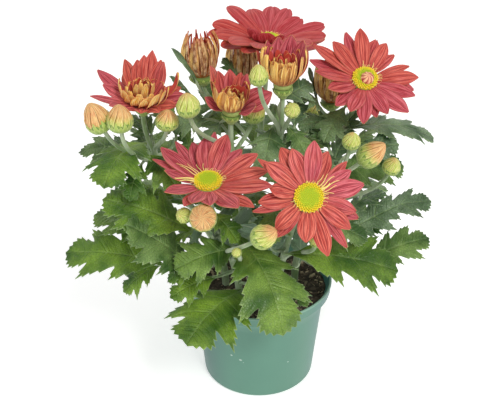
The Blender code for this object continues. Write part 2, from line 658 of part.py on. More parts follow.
def soil():
    """The potting mix: it fills the pot, is lumpy on top, and has a plain hole for each stem."""
    step = POT_HEIGHT - POT_RIM_HEIGHT
    wall = POT_WALL + GAP
    rows = [
        (0, POT_FLOOR + GAP), (POT_BASE_RADIUS - wall, POT_FLOOR + GAP), (POT_WALL_TOP_RADIUS - wall, step - 0.6),
        (POT_RIM_RADIUS - 1.3 - wall, SOIL_TOP + 1.0), (38.0, SOIL_TOP), (24.0, SOIL_TOP), (10.0, SOIL_TOP),
        (0, SOIL_TOP + 0.5),
    ]
    points, faces = turned(rows, SOIL_SIDES)
    for i, point in enumerate(points):
        if point[2] > SOIL_TOP - 0.1 and math.hypot(point[0], point[1]) < 45:
            point[2] += SOIL_LUMP * sway(3.0, i)
    body = add_solid("soil", points, faces)
    body.data.materials.append(material("soil_brown", SOIL_BROWN, 0.95))
    for foot, _ in STEMS.values():
        clear = (STEM_RADIUS + GAP) / math.cos(math.pi / HOLE_SIDES)
        bore(body, "stem_hole", foot, clear, STEM_FOOT - GAP, SOIL_TOP + 6.0, HOLE_SIDES)


def bore(body, name, middle, radius, low, high, sides):
    """A plain round hole in a body."""
    points, faces = turned([(0, low), (radius, low), (radius, high), (0, high)], sides)
    cutter = add_solid(name, points + vec((middle[0], middle[1], 0)), faces)
    cutter.hide_render = True
    cutter.display_type = "WIRE"
    cut = body.modifiers.new(name, "BOOLEAN")
    cut.operation = "DIFFERENCE"
    cut.object = cutter
    cut.solver = "EXACT"


def shade_round(body):
    """Smooth shading with the real edges kept sharp."""
    body.data.shade_smooth()
    body.data.set_sharp_from_angle(angle=math.radians(35))


for old in list(bpy.data.objects):
    bpy.data.objects.remove(old)
pot()
soil()
for stem_name in STEMS:
    leafy_stem(stem_name)
for bloom_name, (_, *bloom_row) in OPEN_BLOOMS.items():
    open_bloom(bloom_name, *bloom_row)
for bloom_name, (_, *bloom_row) in CUPPED_BLOOMS.items():
    cupped_bloom(bloom_name, *bloom_row)
for head_name, (_, *head_row) in BRUSH_HEADS.items():
    brush_head(head_name, *head_row)
for bud_name, (_, *bud_row) in BUDS.items():
    bud(bud_name, *bud_row)
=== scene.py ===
"""The looks of a pot chrysanthemum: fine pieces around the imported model, finishes, light and camera.

Lengths in the tables are millimetres. Every finished piece is written in metres in the model's own frame.
"""
import math

import bpy
import numpy as np
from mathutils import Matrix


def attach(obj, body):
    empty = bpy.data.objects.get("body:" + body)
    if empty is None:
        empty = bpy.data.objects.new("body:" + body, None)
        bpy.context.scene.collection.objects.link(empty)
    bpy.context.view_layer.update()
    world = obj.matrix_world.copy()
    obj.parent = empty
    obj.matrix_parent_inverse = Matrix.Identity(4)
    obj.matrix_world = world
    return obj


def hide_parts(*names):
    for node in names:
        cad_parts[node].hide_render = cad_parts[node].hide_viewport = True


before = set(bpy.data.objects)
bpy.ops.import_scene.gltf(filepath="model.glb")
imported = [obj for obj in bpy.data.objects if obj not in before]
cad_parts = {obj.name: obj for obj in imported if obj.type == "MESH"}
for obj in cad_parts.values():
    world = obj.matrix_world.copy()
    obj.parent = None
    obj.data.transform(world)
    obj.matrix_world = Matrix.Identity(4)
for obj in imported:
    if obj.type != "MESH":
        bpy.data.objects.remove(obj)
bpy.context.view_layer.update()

# The pot
# A thin nursery pot, injection moulded in green polypropylene: a tapered wall, a band below its lip and
# four drain holes in the floor. The skin is satin, with a few pale rubs low on the front.
MM = 0.001
POT_HEIGHT = 78.0
POT_BASE_RADIUS = 40.9
POT_WALL_TOP_RADIUS = 47.6
POT_RIM_RADIUS = 52.5
POT_RIM_HEIGHT = 9.0
POT_WALL = 1.6
POT_FLOOR = 2.0
POT_SIDES = 144
DRAIN_COUNT = 4
DRAIN_RADIUS = 5.0
DRAIN_CIRCLE = 25.0
DRAIN_SIDES = 32
# Pale rubs low on the front: place to the right, height and size
RUBS = ((-19.5, 37.0, 1.5), (-13.0, 34.5, 2.2), (-11.0, 32.5, 1.4), (20.5, 30.0, 1.3))
RUB_FRONT = -39.5


def paint(red, green, blue):
    """A screen colour of 0 to 255 as linear light: each channel c becomes ((c + 0.055) / 1.055) ** 2.4."""
    channels = np.array([red, green, blue]) / 255
    linear = np.where(channels > 0.04045, ((channels + 0.055) / 1.055) ** 2.4, channels / 12.92)
    return (*linear.tolist(), 1.0)


class Wire:
    """One output socket; arithmetic on it adds Math nodes."""

    def __init__(self, finish, socket):
        self.finish, self.socket = finish, socket

    def math(self, operation, first, second=None):
        values = {i: v for i, v in enumerate((first, second)) if v is not None}
        return self.finish.node("Math", {"operation": operation}, values)

    def __add__(self, other):
        return self.math("ADD", self, other)

    def __sub__(self, other):
        return self.math("SUBTRACT", self, other)

    def __rsub__(self, other):
        return self.math("SUBTRACT", other, self)

    def __mul__(self, other):
        return self.math("MULTIPLY", self, other)

    def __truediv__(self, other):
        return self.math("DIVIDE", self, other)

    def __abs__(self):
        return self.math("ABSOLUTE", self)

    __radd__ = __add__
    __rmul__ = __mul__

    def between(self, low, high):
        """A smooth step: 0 below low, 1 above high."""
        values = {"Value": self, "From Min": low, "From Max": high}
        return self.finish.node("MapRange", {"interpolation_type": "SMOOTHSTEP"}, values)


class Finish:
    """A Principled material in the making."""

    def __init__(self, name, **constants):
        self.material = bpy.data.materials.new(name)
        self.material.use_nodes = True
        self.tree = self.material.node_tree
        self.shader = self.tree.nodes["Principled BSDF"]
        self.feed(**constants)

    def node(self, kind, settings=None, values=None, out=0):
        """Any node: its settings are set first, then the values or links of its sockets."""
        made = self.tree.nodes.new("ShaderNode" + kind)
        for key, value in (settings or {}).items():
            setattr(made, key, value)
        for key, value in (values or {}).items():
            self.join(made.inputs[key], value)
        return Wire(self, made.outputs[out])

    def join(self, socket, value):
        """A link, or a fixed value, on one socket."""
        if isinstance(value, Wire):
            self.tree.links.new(value.socket, socket)
        else:
            socket.default_value = value

    def feed(self, **inputs):
        """Values or wires of the shader's sockets, named with _ for a space."""
        for key, value in inputs.items():
            self.join(self.shader.inputs[key.replace("_", " ")], value)

    def mix(self, first, second, amount, mode="MIX"):
        """Colour between first and second."""
        settings = {"data_type": "RGBA", "blend_type": mode}
        return self.node("Mix", settings, {0: amount, 6: first, 7: second}, out=2)

    def value(self, name):
        """A number that the mesh carries at each point."""
        return self.node("Attribute", {"attribute_name": name}, out="Fac")

    def place(self, scale=(1.0, 1.0, 1.0)):
        """Object coordinates, stretched."""
        point = self.node("TexCoord", out="Object")
        return self.node("Mapping", None, {"Vector": point, "Scale": scale})

    def noise(self, vector, scale, detail=3.0, rough=0.5):
        """Smooth noise between 0 and 1."""
        values = {"Vector": vector, "Scale": scale, "Detail": detail, "Roughness": rough}
        return self.node("TexNoise", None, values)

    def bump(self, height, depth, strength=1.0):
        """Relief of a given depth in metres, fed to the shader's normal."""
        relief = self.node("Bump", None, {"Height": height, "Distance": depth, "Strength": strength})
        self.feed(Normal=relief)


class Batch:
    """Grids of points gathered into one mesh; the first axis of each array counts like shapes."""

    def __init__(self):
        self.points, self.faces, self.slots, self.values, self.total = [], [], [], [], 0

    def take(self, points, faces, slot, values):
        """Add n shapes of m points each, with the faces of one shape and named numbers per point."""
        count, size = points.shape[:2]
        shift = self.total + size * np.arange(count)
        for face in faces:
            moved = (face[None] + shift[:, None, None]).reshape(-1, face.shape[1])
            self.faces.append(moved)
            self.slots.append(np.full(len(moved), slot))
        self.points.append(points.reshape(-1, 3))
        self.values.append({key: np.broadcast_to(v, (count, size)).ravel() for key, v in values.items()})
        self.total += count * size

    def rings(self, grid, slot=0, **values):
        """Closed round skins from a grid (n, rows, sides, 3), with a fan to the mean of each end ring."""
        count, rows, sides = grid.shape[:3]

        def with_poles(array):
            ends = np.stack([array[:, 0].mean(1), array[:, -1].mean(1)], 1)
            return np.concatenate([array.reshape(count, rows * sides, -1), ends.reshape(count, 2, -1)], 1)

        k = np.arange(sides)
        after = (k + 1) % sides
        base = sides * np.arange(rows - 1)[:, None]
        quads = np.stack([base + k, base + after, base + sides + after, base + sides + k], -1)
        low, high = rows * sides, rows * sides + 1
        last = sides * (rows - 1)
        first_fan = np.stack([np.full(sides, low), after, k], -1)
        last_fan = np.stack([np.full(sides, high), last + k, last + after], -1)
        spread = {}
        for key, v in values.items():
            spread[key] = with_poles(np.broadcast_to(v, (count, rows, sides)))[..., 0]
        self.take(with_poles(grid), [quads.reshape(-1, 4), first_fan, last_fan], slot, spread)

    def sheets(self, tops, thickness, slot=0, **values):
        """Thin closed sheets from a grid (n, rows, columns, 3): the under face lies a thickness below the
        top along its normal, and a strip of quads closes the rim."""
        count, rows, columns = tops.shape[:3]
        normal = np.cross(np.gradient(tops, axis=2), np.gradient(tops, axis=1))
        normal /= np.linalg.norm(normal, axis=-1, keepdims=True) + 1e-12
        under = tops - normal * np.asarray(thickness)
        index = np.arange(rows * columns).reshape(rows, columns)
        quads = np.stack([index[:-1, :-1], index[:-1, 1:], index[1:, 1:], index[1:, :-1]], -1)
        quads = quads.reshape(-1, 4)
        rim = np.concatenate([index[0, :-1], index[:-1, -1], index[-1, :0:-1], index[:0:-1, 0]])
        after, size = np.roll(rim, -1), rows * columns
        edge = np.stack([after, rim, rim + size, after + size], -1)
        both = np.concatenate([tops.reshape(count, size, 3), under.reshape(count, size, 3)], 1)
        spread = {}
        for key, v in values.items():
            flat = np.broadcast_to(v, (count, rows, columns)).reshape(count, size)
            spread[key] = np.concatenate([flat, flat], 1)
        spread["under"] = np.repeat([[0.0, 1.0]], size, 1)
        self.take(both, [quads, quads[:, ::-1] + size, edge], slot, spread)

    def build(self, name, finishes, sharp=50):
        """The mesh object, in metres, with its materials, its named numbers and smooth shading."""
        mesh = bpy.data.meshes.new(name)
        faces = [face for block in self.faces for face in block.tolist()]
        mesh.from_pydata((np.concatenate(self.points) * MM).tolist(), [], faces)
        mesh.polygons.foreach_set("material_index", np.concatenate(self.slots).astype(np.int32))
        for key in sorted({key for block in self.values for key in block}):
            parts = [block.get(key, np.zeros(len(p))) for block, p in zip(self.values, self.points)]
            layer = mesh.attributes.new(key, "FLOAT", "POINT")
            layer.data.foreach_set("value", np.concatenate(parts).astype(np.float32))
        for finish in finishes:
            mesh.materials.append(finish.material)
        mesh.shade_smooth()
        mesh.set_sharp_from_angle(angle=math.radians(sharp))
        made = bpy.data.objects.new(name, mesh)
        bpy.context.scene.collection.objects.link(made)
        return made


def lathe(profile, sides):
    """A profile of radius and height turned round Z: the point at angle a is (r cos a, r sin a, h)."""
    profile = np.asarray(profile, float)
    angle = 2 * np.pi * np.arange(sides) / sides
    radius, height = profile[:, :1], np.repeat(profile[:, 1:], sides, 1)
    return np.stack([radius * np.cos(angle), radius * np.sin(angle), height], -1)[None]


def moulded_pot():
    """The pot as one turned skin, less four plain drain holes."""
    step = POT_HEIGHT - POT_RIM_HEIGHT
    inner = POT_RIM_RADIUS - POT_WALL
    foot, top = POT_BASE_RADIUS, POT_WALL_TOP_RADIUS
    outside = [
        (1.0, 0), (36.0, 0), (foot - 1.5, 0), (foot - 0.6, 0.35), (foot - 0.1, 1.0), (foot + 0.05, 1.8),
        (42.6, 20.0), (44.5, 40.0), (46.4, 60.0), (top, step - 0.6), (top + 0.5, step - 0.1),
    ]
    lip = [
        (50.9, step + 0.5), (51.5, step + 1.1), (51.8, step + 2.2), (52.2, 75.4), (POT_RIM_RADIUS, 76.3),
        (POT_RIM_RADIUS, 77.2), (52.2, 77.8), (51.6, POT_HEIGHT), (51.0, 77.7), (inner - 0.2, 76.8),
    ]
    inside = [
        (49.6, step + 1.6), (top - 1.7, step - 0.8), (44.6, 58.0), (41.0, 20.0), (39.5, 4.0),
        (38.6, POT_FLOOR), (30.0, POT_FLOOR), (1.0, POT_FLOOR),
    ]
    skin = Batch()
    skin.rings(lathe(outside + lip + inside, POT_SIDES))
    body = skin.build("nursery_pot", [pot_plastic()], sharp=60)
    drills = Batch()
    for k in range(DRAIN_COUNT):
        angle = math.pi / 4 + math.pi / 2 * k
        across = np.array([DRAIN_CIRCLE * math.cos(angle), DRAIN_CIRCLE * math.sin(angle), 0])
        drills.rings(lathe([(DRAIN_RADIUS, -2), (DRAIN_RADIUS, POT_FLOOR + 2)], DRAIN_SIDES) + across)
    drill = drills.build("drill", [])
    cut = body.modifiers.new("drain", "BOOLEAN")
    cut.operation, cut.object, cut.solver = "DIFFERENCE", drill, "EXACT"
    drilled = bpy.data.meshes.new_from_object(body.evaluated_get(bpy.context.evaluated_depsgraph_get()))
    body.modifiers.clear()
    body.data = drilled
    bpy.data.objects.remove(drill)
    drilled.set_sharp_from_angle(angle=math.radians(60))
    return body


def pot_plastic():
    """Satin teal green plastic with painted shade that turns it darker and bluer to the left and at its
    right edge, a paler band along the top of the lip, and short pale rubs.
    """
    skin = Finish("pot_plastic", Specular_IOR_Level=0.45)
    point = skin.place()
    parts = {name: skin.node("SeparateXYZ", None, {0: point}, out=name) for name in "XYZ"}
    cloud = skin.noise(point, 22.0, 4.0)
    grain = skin.noise(point, 900.0, 2.0)
    green = skin.mix(paint(82, 128, 111), paint(98, 144, 125), cloud)
    # Painted shade: the pot turns deep blue green towards its left side and darker blue green at its right
    # edge.
    green = skin.mix(paint(24, 76, 80), green, parts["X"].between(-0.056, -0.014))
    green = skin.mix(green, paint(68, 120, 116), parts["X"].between(0.03, 0.05))
    # A paler band along the top of the lip.
    lip_band = parts["Z"].between(0.0762, 0.0776) * 0.55
    green = skin.mix(green, paint(168, 205, 184), lip_band)
    rubs = None
    for x, z, size in RUBS:
        spot = (x * MM, RUB_FRONT * MM, z * MM)
        away = skin.node("VectorMath", {"operation": "SUBTRACT"}, {0: point, 1: spot})
        away = skin.node("VectorMath", {"operation": "MULTIPLY"}, {0: away, 1: (1.0, 0.25, 1.7)})
        length = skin.node("VectorMath", {"operation": "LENGTH"}, {0: away}, out="Value")
        rub = 1 - (length + 0.0012 * skin.noise(point, 700.0, 2.0)).between(0.0012, size * MM)
        rubs = rub if rubs is None else rubs.math("MAXIMUM", rubs, rub)
    green = skin.mix(green, paint(212, 226, 216), rubs * 0.7)
    skin.feed(Base_Color=green, Roughness=0.34 + 0.12 * cloud)
    skin.bump(grain, 0.00012, 0.5)
    return skin


pot_piece = moulded_pot()
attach(pot_piece, "root")
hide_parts("pot")

# The potting mix
# Moist dark peat, pressed in by hand until it lies a little under the lip, uneven on top, with crumbs
# and chips of tan composted bark lying over it.
SOIL_TOP = 70.0
SOIL_SIDES = 120
SOIL_RINGS = 44
CHIP_COUNT = 640
CHIP_SIDES = 6
CHIP_REACH = 46.5
# The three rings of a chip: share of its size, share of its height
CHIP_ROWS = ((0.7, -0.5), (1.0, 0.05), (0.72, 0.5))


def sway(seed, index):
    """A fixed irregular number between -1 and 1: the sine of 12.9898 index + 78.233 seed."""
    return np.sin(12.9898 * np.asarray(index, float) + 78.233 * seed)


def lumps(x, y, pitch):
    """An uneven height between -1 and 1: the mean of four crossed sines of unlike pitch."""
    return 0.25 * (
        np.sin(x / pitch + 1.3 * np.sin(y / pitch * 0.7)) + np.sin(y / pitch * 1.31 + 2.1)
        + np.sin((x + y) / pitch * 0.83 + 0.4) + np.sin((x - 1.7 * y) / pitch * 1.9)
    )


def scatter(seed, index):
    """A number between -1 and 1 with no pattern along the index: twice the fraction of a large multiple of
    a sine, less one."""
    value = 43758.5453 * np.sin(12.9898 * index + 78.233 * seed)
    return 2 * (value - np.floor(value)) - 1


def mounds(x, y):
    """The broad and the middling lumps of the mix, in millimetres."""
    return 1.2 * lumps(x, y, 7.0) + 0.7 * lumps(x + 9, y, 2.3)


def bark_chips(mix):
    """Flat six-sided chips lying on the mix, each with a size, a breadth, a turn and a slope of its own."""
    k = np.arange(CHIP_COUNT)
    corner = k[:, None] * CHIP_SIDES + np.arange(CHIP_SIDES)
    far = CHIP_REACH * np.sqrt(0.5 + 0.5 * scatter(10, k))
    turn = np.pi * scatter(1, k)
    size = 0.7 + 0.6 * (1 + scatter(2, k)) + 2.2 * (scatter(3, k) > 0.8)
    squash = 0.14 + 0.2 * (1 + scatter(4, k))
    middle = np.stack([far * np.cos(turn), far * np.sin(turn)], -1)
    level = SOIL_TOP + mounds(*middle.T)
    angle = 2 * np.pi / CHIP_SIDES * np.arange(CHIP_SIDES)[None] + 0.35 * scatter(5, corner)
    spin = np.pi * scatter(7, k)[:, None]
    rows = []
    for share, height in CHIP_ROWS:
        reach = size[:, None] * share * (1 + 0.22 * scatter(6 + height, corner))
        length, breadth = reach * np.cos(angle), reach * np.sin(angle) * squash[:, None]
        xs = length * np.cos(spin) - breadth * np.sin(spin)
        ys = length * np.sin(spin) + breadth * np.cos(spin)
        rise = (size * 0.4 * height)[:, None] + 0.35 * xs * scatter(8, k)[:, None] + 0.3 + level[:, None]
        rows.append(np.stack([middle[:, :1] + xs, middle[:, 1:] + ys, rise], -1))
    mix.rings(np.stack(rows, 1), 1, tint=scatter(9, k)[:, None, None])


def potting_mix():
    """The mix that fills the pot, its top rings lifted by lumps of three sizes, and the chips on it."""
    low = POT_FLOOR + 0.3
    side = [(1.0, low), (38.4, low), (39.0, 3.5), (45.6, 66.0), (48.4, SOIL_TOP - 0.4)]
    top = [(radius, SOIL_TOP) for radius in np.linspace(47.4, 1.2, SOIL_RINGS)]
    grid = lathe(side + top, SOIL_SIDES)
    x, y = grid[..., 0], grid[..., 1]
    rough = mounds(x, y) + 0.4 * lumps(x, y + 5, 0.9)
    grid[:, len(side):, :, 2] += rough[:, len(side):]
    mix = Batch()
    mix.rings(grid, 0)
    bark_chips(mix)
    return mix.build("potting_mix", [peat(), bark()], sharp=30)


def peat():
    """Near-black moist peat with browner crumbs."""
    skin = Finish("peat", Specular_IOR_Level=0.25)
    point = skin.place()
    crumbs = skin.noise(point, 260.0, 5.0, 0.7)
    fine = skin.noise(point, 900.0, 3.0)
    colour = skin.mix(paint(58, 51, 46), paint(124, 108, 92), crumbs.between(0.42, 0.75))
    skin.feed(Base_Color=colour, Roughness=0.93)
    skin.bump(crumbs + 0.5 * fine, 0.0012, 0.9)
    return skin


def bark():
    """Tan to dark brown bark, chip by chip."""
    skin = Finish("bark", Specular_IOR_Level=0.2)
    fibre = skin.noise(skin.place((1.0, 3.0, 1.0)), 500.0, 3.0)
    tint = skin.value("tint").between(-0.4, 1.0)
    colour = skin.mix(paint(66, 58, 50), paint(196, 176, 150), tint)
    colour = skin.mix(colour, paint(60, 44, 34), fibre.between(0.5, 0.8) * 0.6)
    skin.feed(Base_Color=colour, Roughness=0.9)
    skin.bump(fibre, 0.0004, 0.8)
    return skin


mix_piece = potting_mix()
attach(mix_piece, "root")
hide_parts("soil")

# The stalks
# Seven stems stand in the mix and fork below their heads. They are green, ribbed and finely downy,
# and each fork ends in the green cup of small scales that holds a bloom or a bud.
STEM_FOOT = 46.0
STEM_RADIUS = 2.6
STEM_TOP_RADIUS = 1.5
TWIG_RADIUS = 1.3
PETIOLE_RADIUS = 1.0
PETIOLE_END_RADIUS = 0.45
PETIOLE_SUNK = 2.0
PETIOLE_STEPS = 12
SCALE_THICKNESS = 0.25
# How far below its centre a head or a bud meets its stalk, and how far a brush head's cup is above its base
CUP_DEPTH = 9.0
BUD_DEPTH = 0.5
BRUSH_LIFT = 3.8
CUPPED_CUP_RADIUS = 6.0
# Each leafy stem: where it leaves the soil, and the head that ends it
STEMS = {
    "stem_left": ((-24, 0), "bloom_left"),
    "stem_front_left": ((-14, -20), "bloom_front_left"),
    "stem_middle": ((-6, -3), "bloom_middle"),
    "stem_front_right": ((13, -20), "bloom_front_right"),
    "stem_top": ((9, 3), "bloom_top"),
    "stem_back": ((-8, 20), "bloom_back"),
    "stem_right": ((26, 2), "bloom_right"),
}

# Open blooms: stem, centre of the disc, aim, petal reach, disc radius, lift at root and tip, and the
# petals' half width
OPEN_BLOOMS = {
    "bloom_front_right": ("stem_front_right", (28, -70, 180), (0.02, -0.86, 0.50), 33, 8.9, (2, 2), 5.4),
    "bloom_front_left": ("stem_front_left", (-32, -50, 180), (-0.02, -0.24, 0.97), 35, 8.8, (15, 20), 5.4),
    "bloom_right": ("stem_right", (67, 4, 226), (0.05, -0.62, 0.79), 35, 8.3, (13, 10), 5.4),
    "bloom_back": ("stem_back", (6, 49, 238), (0.03, -0.03, 1.00), 40, 7.9, (20, 15), 6.4),
}
# Half-open blooms: stem, centre, aim, petal length, lift at root and tip of the spread petals and of the
# fan of petals at the back, and the length of the heart's short petals as a share of the others'
CUPPED_BLOOMS = {
    "bloom_left": ("stem_left", (-73, -14, 219), (0.09, -0.14, 0.98), 27, (12, 26), (50, 76), 0.54),
    "bloom_middle": ("stem_middle", (-18, -13, 213), (0.05, -0.15, 0.98), 24, (26, 44), (60, 84), 0.58),
    "bloom_top": ("stem_top", (14, -9, 229), (0.0, -0.08, 1.0), 25, (44, 72), (58, 82), 0.76),
}
# Tight heads whose petals still stand upright: stem, centre of the base, aim, length, radius
BRUSH_HEADS = {
    "brush_left": ("stem_back", (-38, 20, 223), (-0.05, -0.05, 1.0), 22, 10.6),
    "brush_back": ("stem_back", (-11, 46, 211), (-0.05, 0.05, 1.0), 22, 8.4),
    "brush_right": ("stem_right", (49, 30, 201), (-0.05, -0.05, 1.0), 22, 9.0),
}
# The closed knob on a disc: its place across the disc, and its radius
KNOBS = {"bloom_right_disc": ((0.8, -1.6), 4.2)}
# Closed buds: stem, centre of the base, aim, length, radius
BUDS = {
    "bud_far_left": ("stem_left", (-96, -33, 207), (-0.32, -0.20, 0.93), 20, 8.0),
    "bud_left": ("stem_left", (-84, -40, 210), (0.0, -0.12, 0.99), 17, 7.6),
    "bud_left_inner": ("stem_left", (-58, -26, 205), (0.10, -0.15, 0.98), 13, 7.0),
    "bud_middle_left": ("stem_middle", (-43, -33, 217), (-0.10, -0.20, 0.97), 15, 7.0),
    "bud_middle_right": ("stem_middle", (-5, 0, 199), (0.14, -0.20, 0.97), 16, 7.2),
    "bud_top": ("stem_top", (-1, -32, 236), (-0.08, -0.15, 0.98), 13, 5.4),
    "bud_top_low": ("stem_top", (19, -30, 217), (0.0, -0.70, 0.71), 9, 4.6),
    "bud_right_upper": ("stem_right", (55, -36, 197), (0.08, -0.30, 0.95), 11, 5.4),
    "bud_right": ("stem_right", (63, -31, 184), (0.66, -0.20, 0.72), 20, 7.4),
    "bud_right_lower": ("stem_right", (83, -22, 173), (0.20, -0.35, 0.92), 12, 5.6),
    "bud_front_left": ("stem_front_left", (-34, -70, 166), (-0.02, -0.86, 0.51), 15, 8.0),
    "bud_front_left_small": ("stem_front_left", (-45, -62, 163), (-0.35, -0.80, 0.49), 10, 4.6),
    "bud_front": ("stem_front_left", (-3, -84, 159), (0.66, -0.40, 0.64), 17, 7.0),
    "bud_front_right": ("stem_front_right", (34, -64, 145), (0.0, -0.50, 0.86), 9, 4.2),
    "bud_front_small": ("stem_front_left", (-14, -78, 146), (-0.2, -0.6, 0.77), 6, 2.8),
    "bud_rear": ("stem_top", (38, 62, 172), (0.30, 0.50, 0.81), 15, 6.6),
    "bud_rear_left": ("stem_back", (-48, 58, 172), (-0.40, 0.45, 0.80), 14, 6.2),
}

# Leaves of each stem: outline, base and tip of the blade, arch as a share of its length, roll in degrees
# (a positive roll lifts the edge on the left of someone who looks from base to tip), and breadth
LEAVES = {
    "stem_left": (
        ("large", (-64, -32, 108), (-131, -25, 113), 0.10, -24, 0.82),
        ("small", (-68, -30, 106), (-92, -38, 90), 0.10, -10, 1.20),
        ("large", (-66, -10, 116), (-114, -4, 130), 0.10, -15, 1.00),
        ("large", (-75, -4, 185), (-97, -44, 172), 0.18, 10, 1.35),
        ("small", (-80, 10, 174), (-122, 6, 173), 0.10, -20, 0.90),
        ("large", (-58, -6, 146), (-98, -20, 142), 0.14, -20, 1.10),
        ("small", (-48, 24, 122), (-106, 44, 120), 0.14, 0, 1.00),
        ("small", (-52, 24, 156), (-96, 50, 160), 0.14, 0, 1.00),
        ("small", (-71, -8, 189), (-62, -8, 210), 0.08, 0, 1.20),
        ("small", (-72, -14, 180), (-52, -36, 168), 0.12, 20, 1.15),
        ("small", (-76, -22, 178), (-82, -42, 162), 0.12, 0, 1.10),
        ("small", (-74, 4, 183), (-86, 10, 199), 0.12, 0, 1.20),
        ("small", (-56, 6, 187), (-68, 16, 205), 0.12, 0, 1.30),
    ),
    "stem_front_left": (
        ("large", (-46, -42, 110), (-84, -52, 151), 0.10, -30, 1.15),
        ("large", (-44, -36, 136), (-101, -32, 158), 0.10, -25, 0.90),
        ("large", (-15, -44, 128), (-54, -62, 124), 0.12, -25, 1.10),
        ("large", (-11, -48, 99), (-46, -90, 87), 0.12, 0, 1.40),
        ("small", (-30, -44, 106), (-58, -60, 101), 0.10, -20, 1.10),
        ("large", (-14, -36, 132), (14, -91, 95), 0.14, -10, 0.95),
        ("small", (-31, -40, 153), (-14, -50, 136), 0.12, 15, 1.20),
    ),
    "stem_middle": (
        ("small", (-35, 4, 198), (-58, 2, 191), 0.12, -35, 1.15),
        ("small", (-6, -12, 152), (-2, -40, 158), 0.14, 0, 1.10),
        ("small", (-25, 0, 198), (-36, -8, 184), 0.12, -10, 1.30),
    ),
    "stem_front_right": (
        ("large", (20, -44, 124), (90, -47, 113), 0.08, 20, 0.85),
        ("small", (14, -46, 106), (30, -66, 98), 0.10, 0, 1.00),
        ("large", (26, -34, 142), (68, -50, 138), 0.12, 10, 0.85),
        ("small", (10, -30, 152), (6, -64, 144), 0.12, 0, 1.00),
    ),
    "stem_top": (
        ("large", (22, -6, 178), (42, -40, 182), 0.14, 0, 1.00),
        ("large", (8, -4, 196), (2, -32, 176), 0.12, 0, 1.00),
        ("small", (18, -4, 196), (30, -22, 182), 0.12, 10, 1.10),
        ("small", (16, 8, 211), (34, 14, 219), 0.10, 30, 1.60),
        ("large", (22, 34, 128), (52, 88, 124), 0.16, 0, 1.00),
        ("small", (18, 30, 96), (24, 92, 92), 0.16, 0, 1.00),
        ("large", (24, 36, 154), (58, 78, 152), 0.16, 0, 1.00),
        ("small", (23, 10, 190), (28, 22, 207), 0.12, 0, 1.30),
    ),
    "stem_back": (
        ("small", (-14, 40, 98), (-34, 98, 94), 0.16, 0, 1.00),
        ("small", (-18, 42, 130), (-22, 100, 132), 0.16, 0, 1.00),
        ("small", (-26, 36, 112), (-74, 70, 106), 0.16, 0, 1.00),
        ("small", (-4, 46, 160), (2, 94, 162), 0.16, 0, 1.00),
        ("small", (-26, 36, 156), (-58, 66, 146), 0.14, 0, 1.00),
        ("small", (-44, 16, 206), (-59, 14, 224), 0.08, 0, 1.10),
        ("strap", (-41, 4, 224), (-56, 8, 245), 0.06, 0, 1.20),
        ("large", (-12, 10, 184), (-36, 30, 192), 0.12, -20, 1.10),
        ("small", (-15, 30, 214), (-25, 34, 230), 0.08, 0, 1.30),
        ("small", (-36, 26, 200), (-33, 32, 218), 0.12, 0, 1.20),
    ),
    "stem_right": (
        ("large", (72, -28, 108), (114, -22, 123), 0.10, 25, 0.95),
        ("small", (60, -10, 120), (94, -8, 140), 0.08, 40, 1.00),
        ("large", (42, 6, 112), (92, 14, 120), 0.12, 20, 1.00),
        ("large", (72, -4, 130), (118, 0, 139), 0.08, 20, 0.75),
        ("large", (50, 2, 158), (98, 6, 162), 0.12, 30, 0.90),
        ("large", (58, 12, 187), (119, 18, 178), 0.12, 5, 0.75),
        ("small", (56, 14, 202), (42, -2, 184), 0.10, -10, 1.20),
        ("strap", (39, 32, 202), (33, 34, 223), 0.04, 0, 1.60),
        ("small", (48, 32, 124), (96, 62, 118), 0.14, 0, 1.00),
        ("large", (54, 20, 190), (26, 20, 186), 0.10, -35, 1.00),
        ("small", (64, 2, 176), (93, 4, 180), 0.08, 40, 1.20),
        ("small", (41, 18, 200), (26, 10, 213), 0.10, -20, 1.40),
        ("small", (50, 4, 163), (58, 12, 181), 0.12, 0, 1.20),
    ),
}

# Young leaves deep among the stalks, which shut the gaps between the stems: base and tip of the blade, and
# its breadth
YOUNG_LEAVES = {
    "stem_left": (
        ((-71, 0, 188), (-78, 6, 202), 1.2), ((-74, 14, 177), (-60, 18, 183), 1.2),
        ((-78, 16, 173), (-88, 20, 185), 1.2),
    ),
    "stem_front_left": (
        ((-37, -30, 117), (-53, -34, 135), 1.3), ((-35, -52, 123), (-59, -60, 113), 1.1),
        ((-31, -44, 138), (-40, -50, 152), 1.2), ((-42, -40, 125), (-34, -44, 151), 1.3),
        ((-25, -28, 112), (-21, -30, 153), 1.3), ((-15, -30, 109), (-9, -34, 155), 1.4),
        ((-38, -36, 138), (-55, -40, 132), 1.2),
    ),
    "stem_middle": (((-22, -4, 180), (-16, 2, 191), 1.3), ((-21, -8, 174), (-34, -2, 186), 1.1)),
    "stem_front_right": (
        ((6, -40, 132), (-5, -36, 154), 1.2), ((16, -36, 136), (1, -30, 152), 1.1),
        ((11, -24, 105), (16, -30, 135), 1.2), ((2, -30, 109), (4, -38, 151), 1.2),
        ((27, -26, 106), (22, -32, 141), 1.0),
    ),
    "stem_top": (
        ((13, 8, 185), (7, 12, 206), 1.2), ((16, 4, 170), (19, 8, 187), 1.2),
        ((14, 2, 177), (-3, 0, 192), 1.2), ((15, -2, 148), (0, -2, 163), 1.2),
        ((26, 4, 171), (18, 8, 193), 1.2),
    ),
    "stem_back": (
        ((-43, 20, 189), (-37, 26, 200), 1.3), ((-19, 30, 193), (-31, 34, 201), 1.2),
        ((-48, 14, 170), (-54, 18, 186), 1.5),
    ),
    "stem_right": (
        ((61, 0, 178), (77, 6, 190), 1.1), ((58, -10, 134), (85, -6, 149), 1.1),
        ((47, 6, 175), (35, 14, 188), 1.2), ((58, 16, 178), (66, 20, 198), 1.3),
    ),
}


def vec(values):
    """Numbers as an array."""
    return np.array(values, float)


def unit(vector):
    """The vector, or each vector of an array, at length one."""
    return vector / np.linalg.norm(vector, axis=-1, keepdims=True)


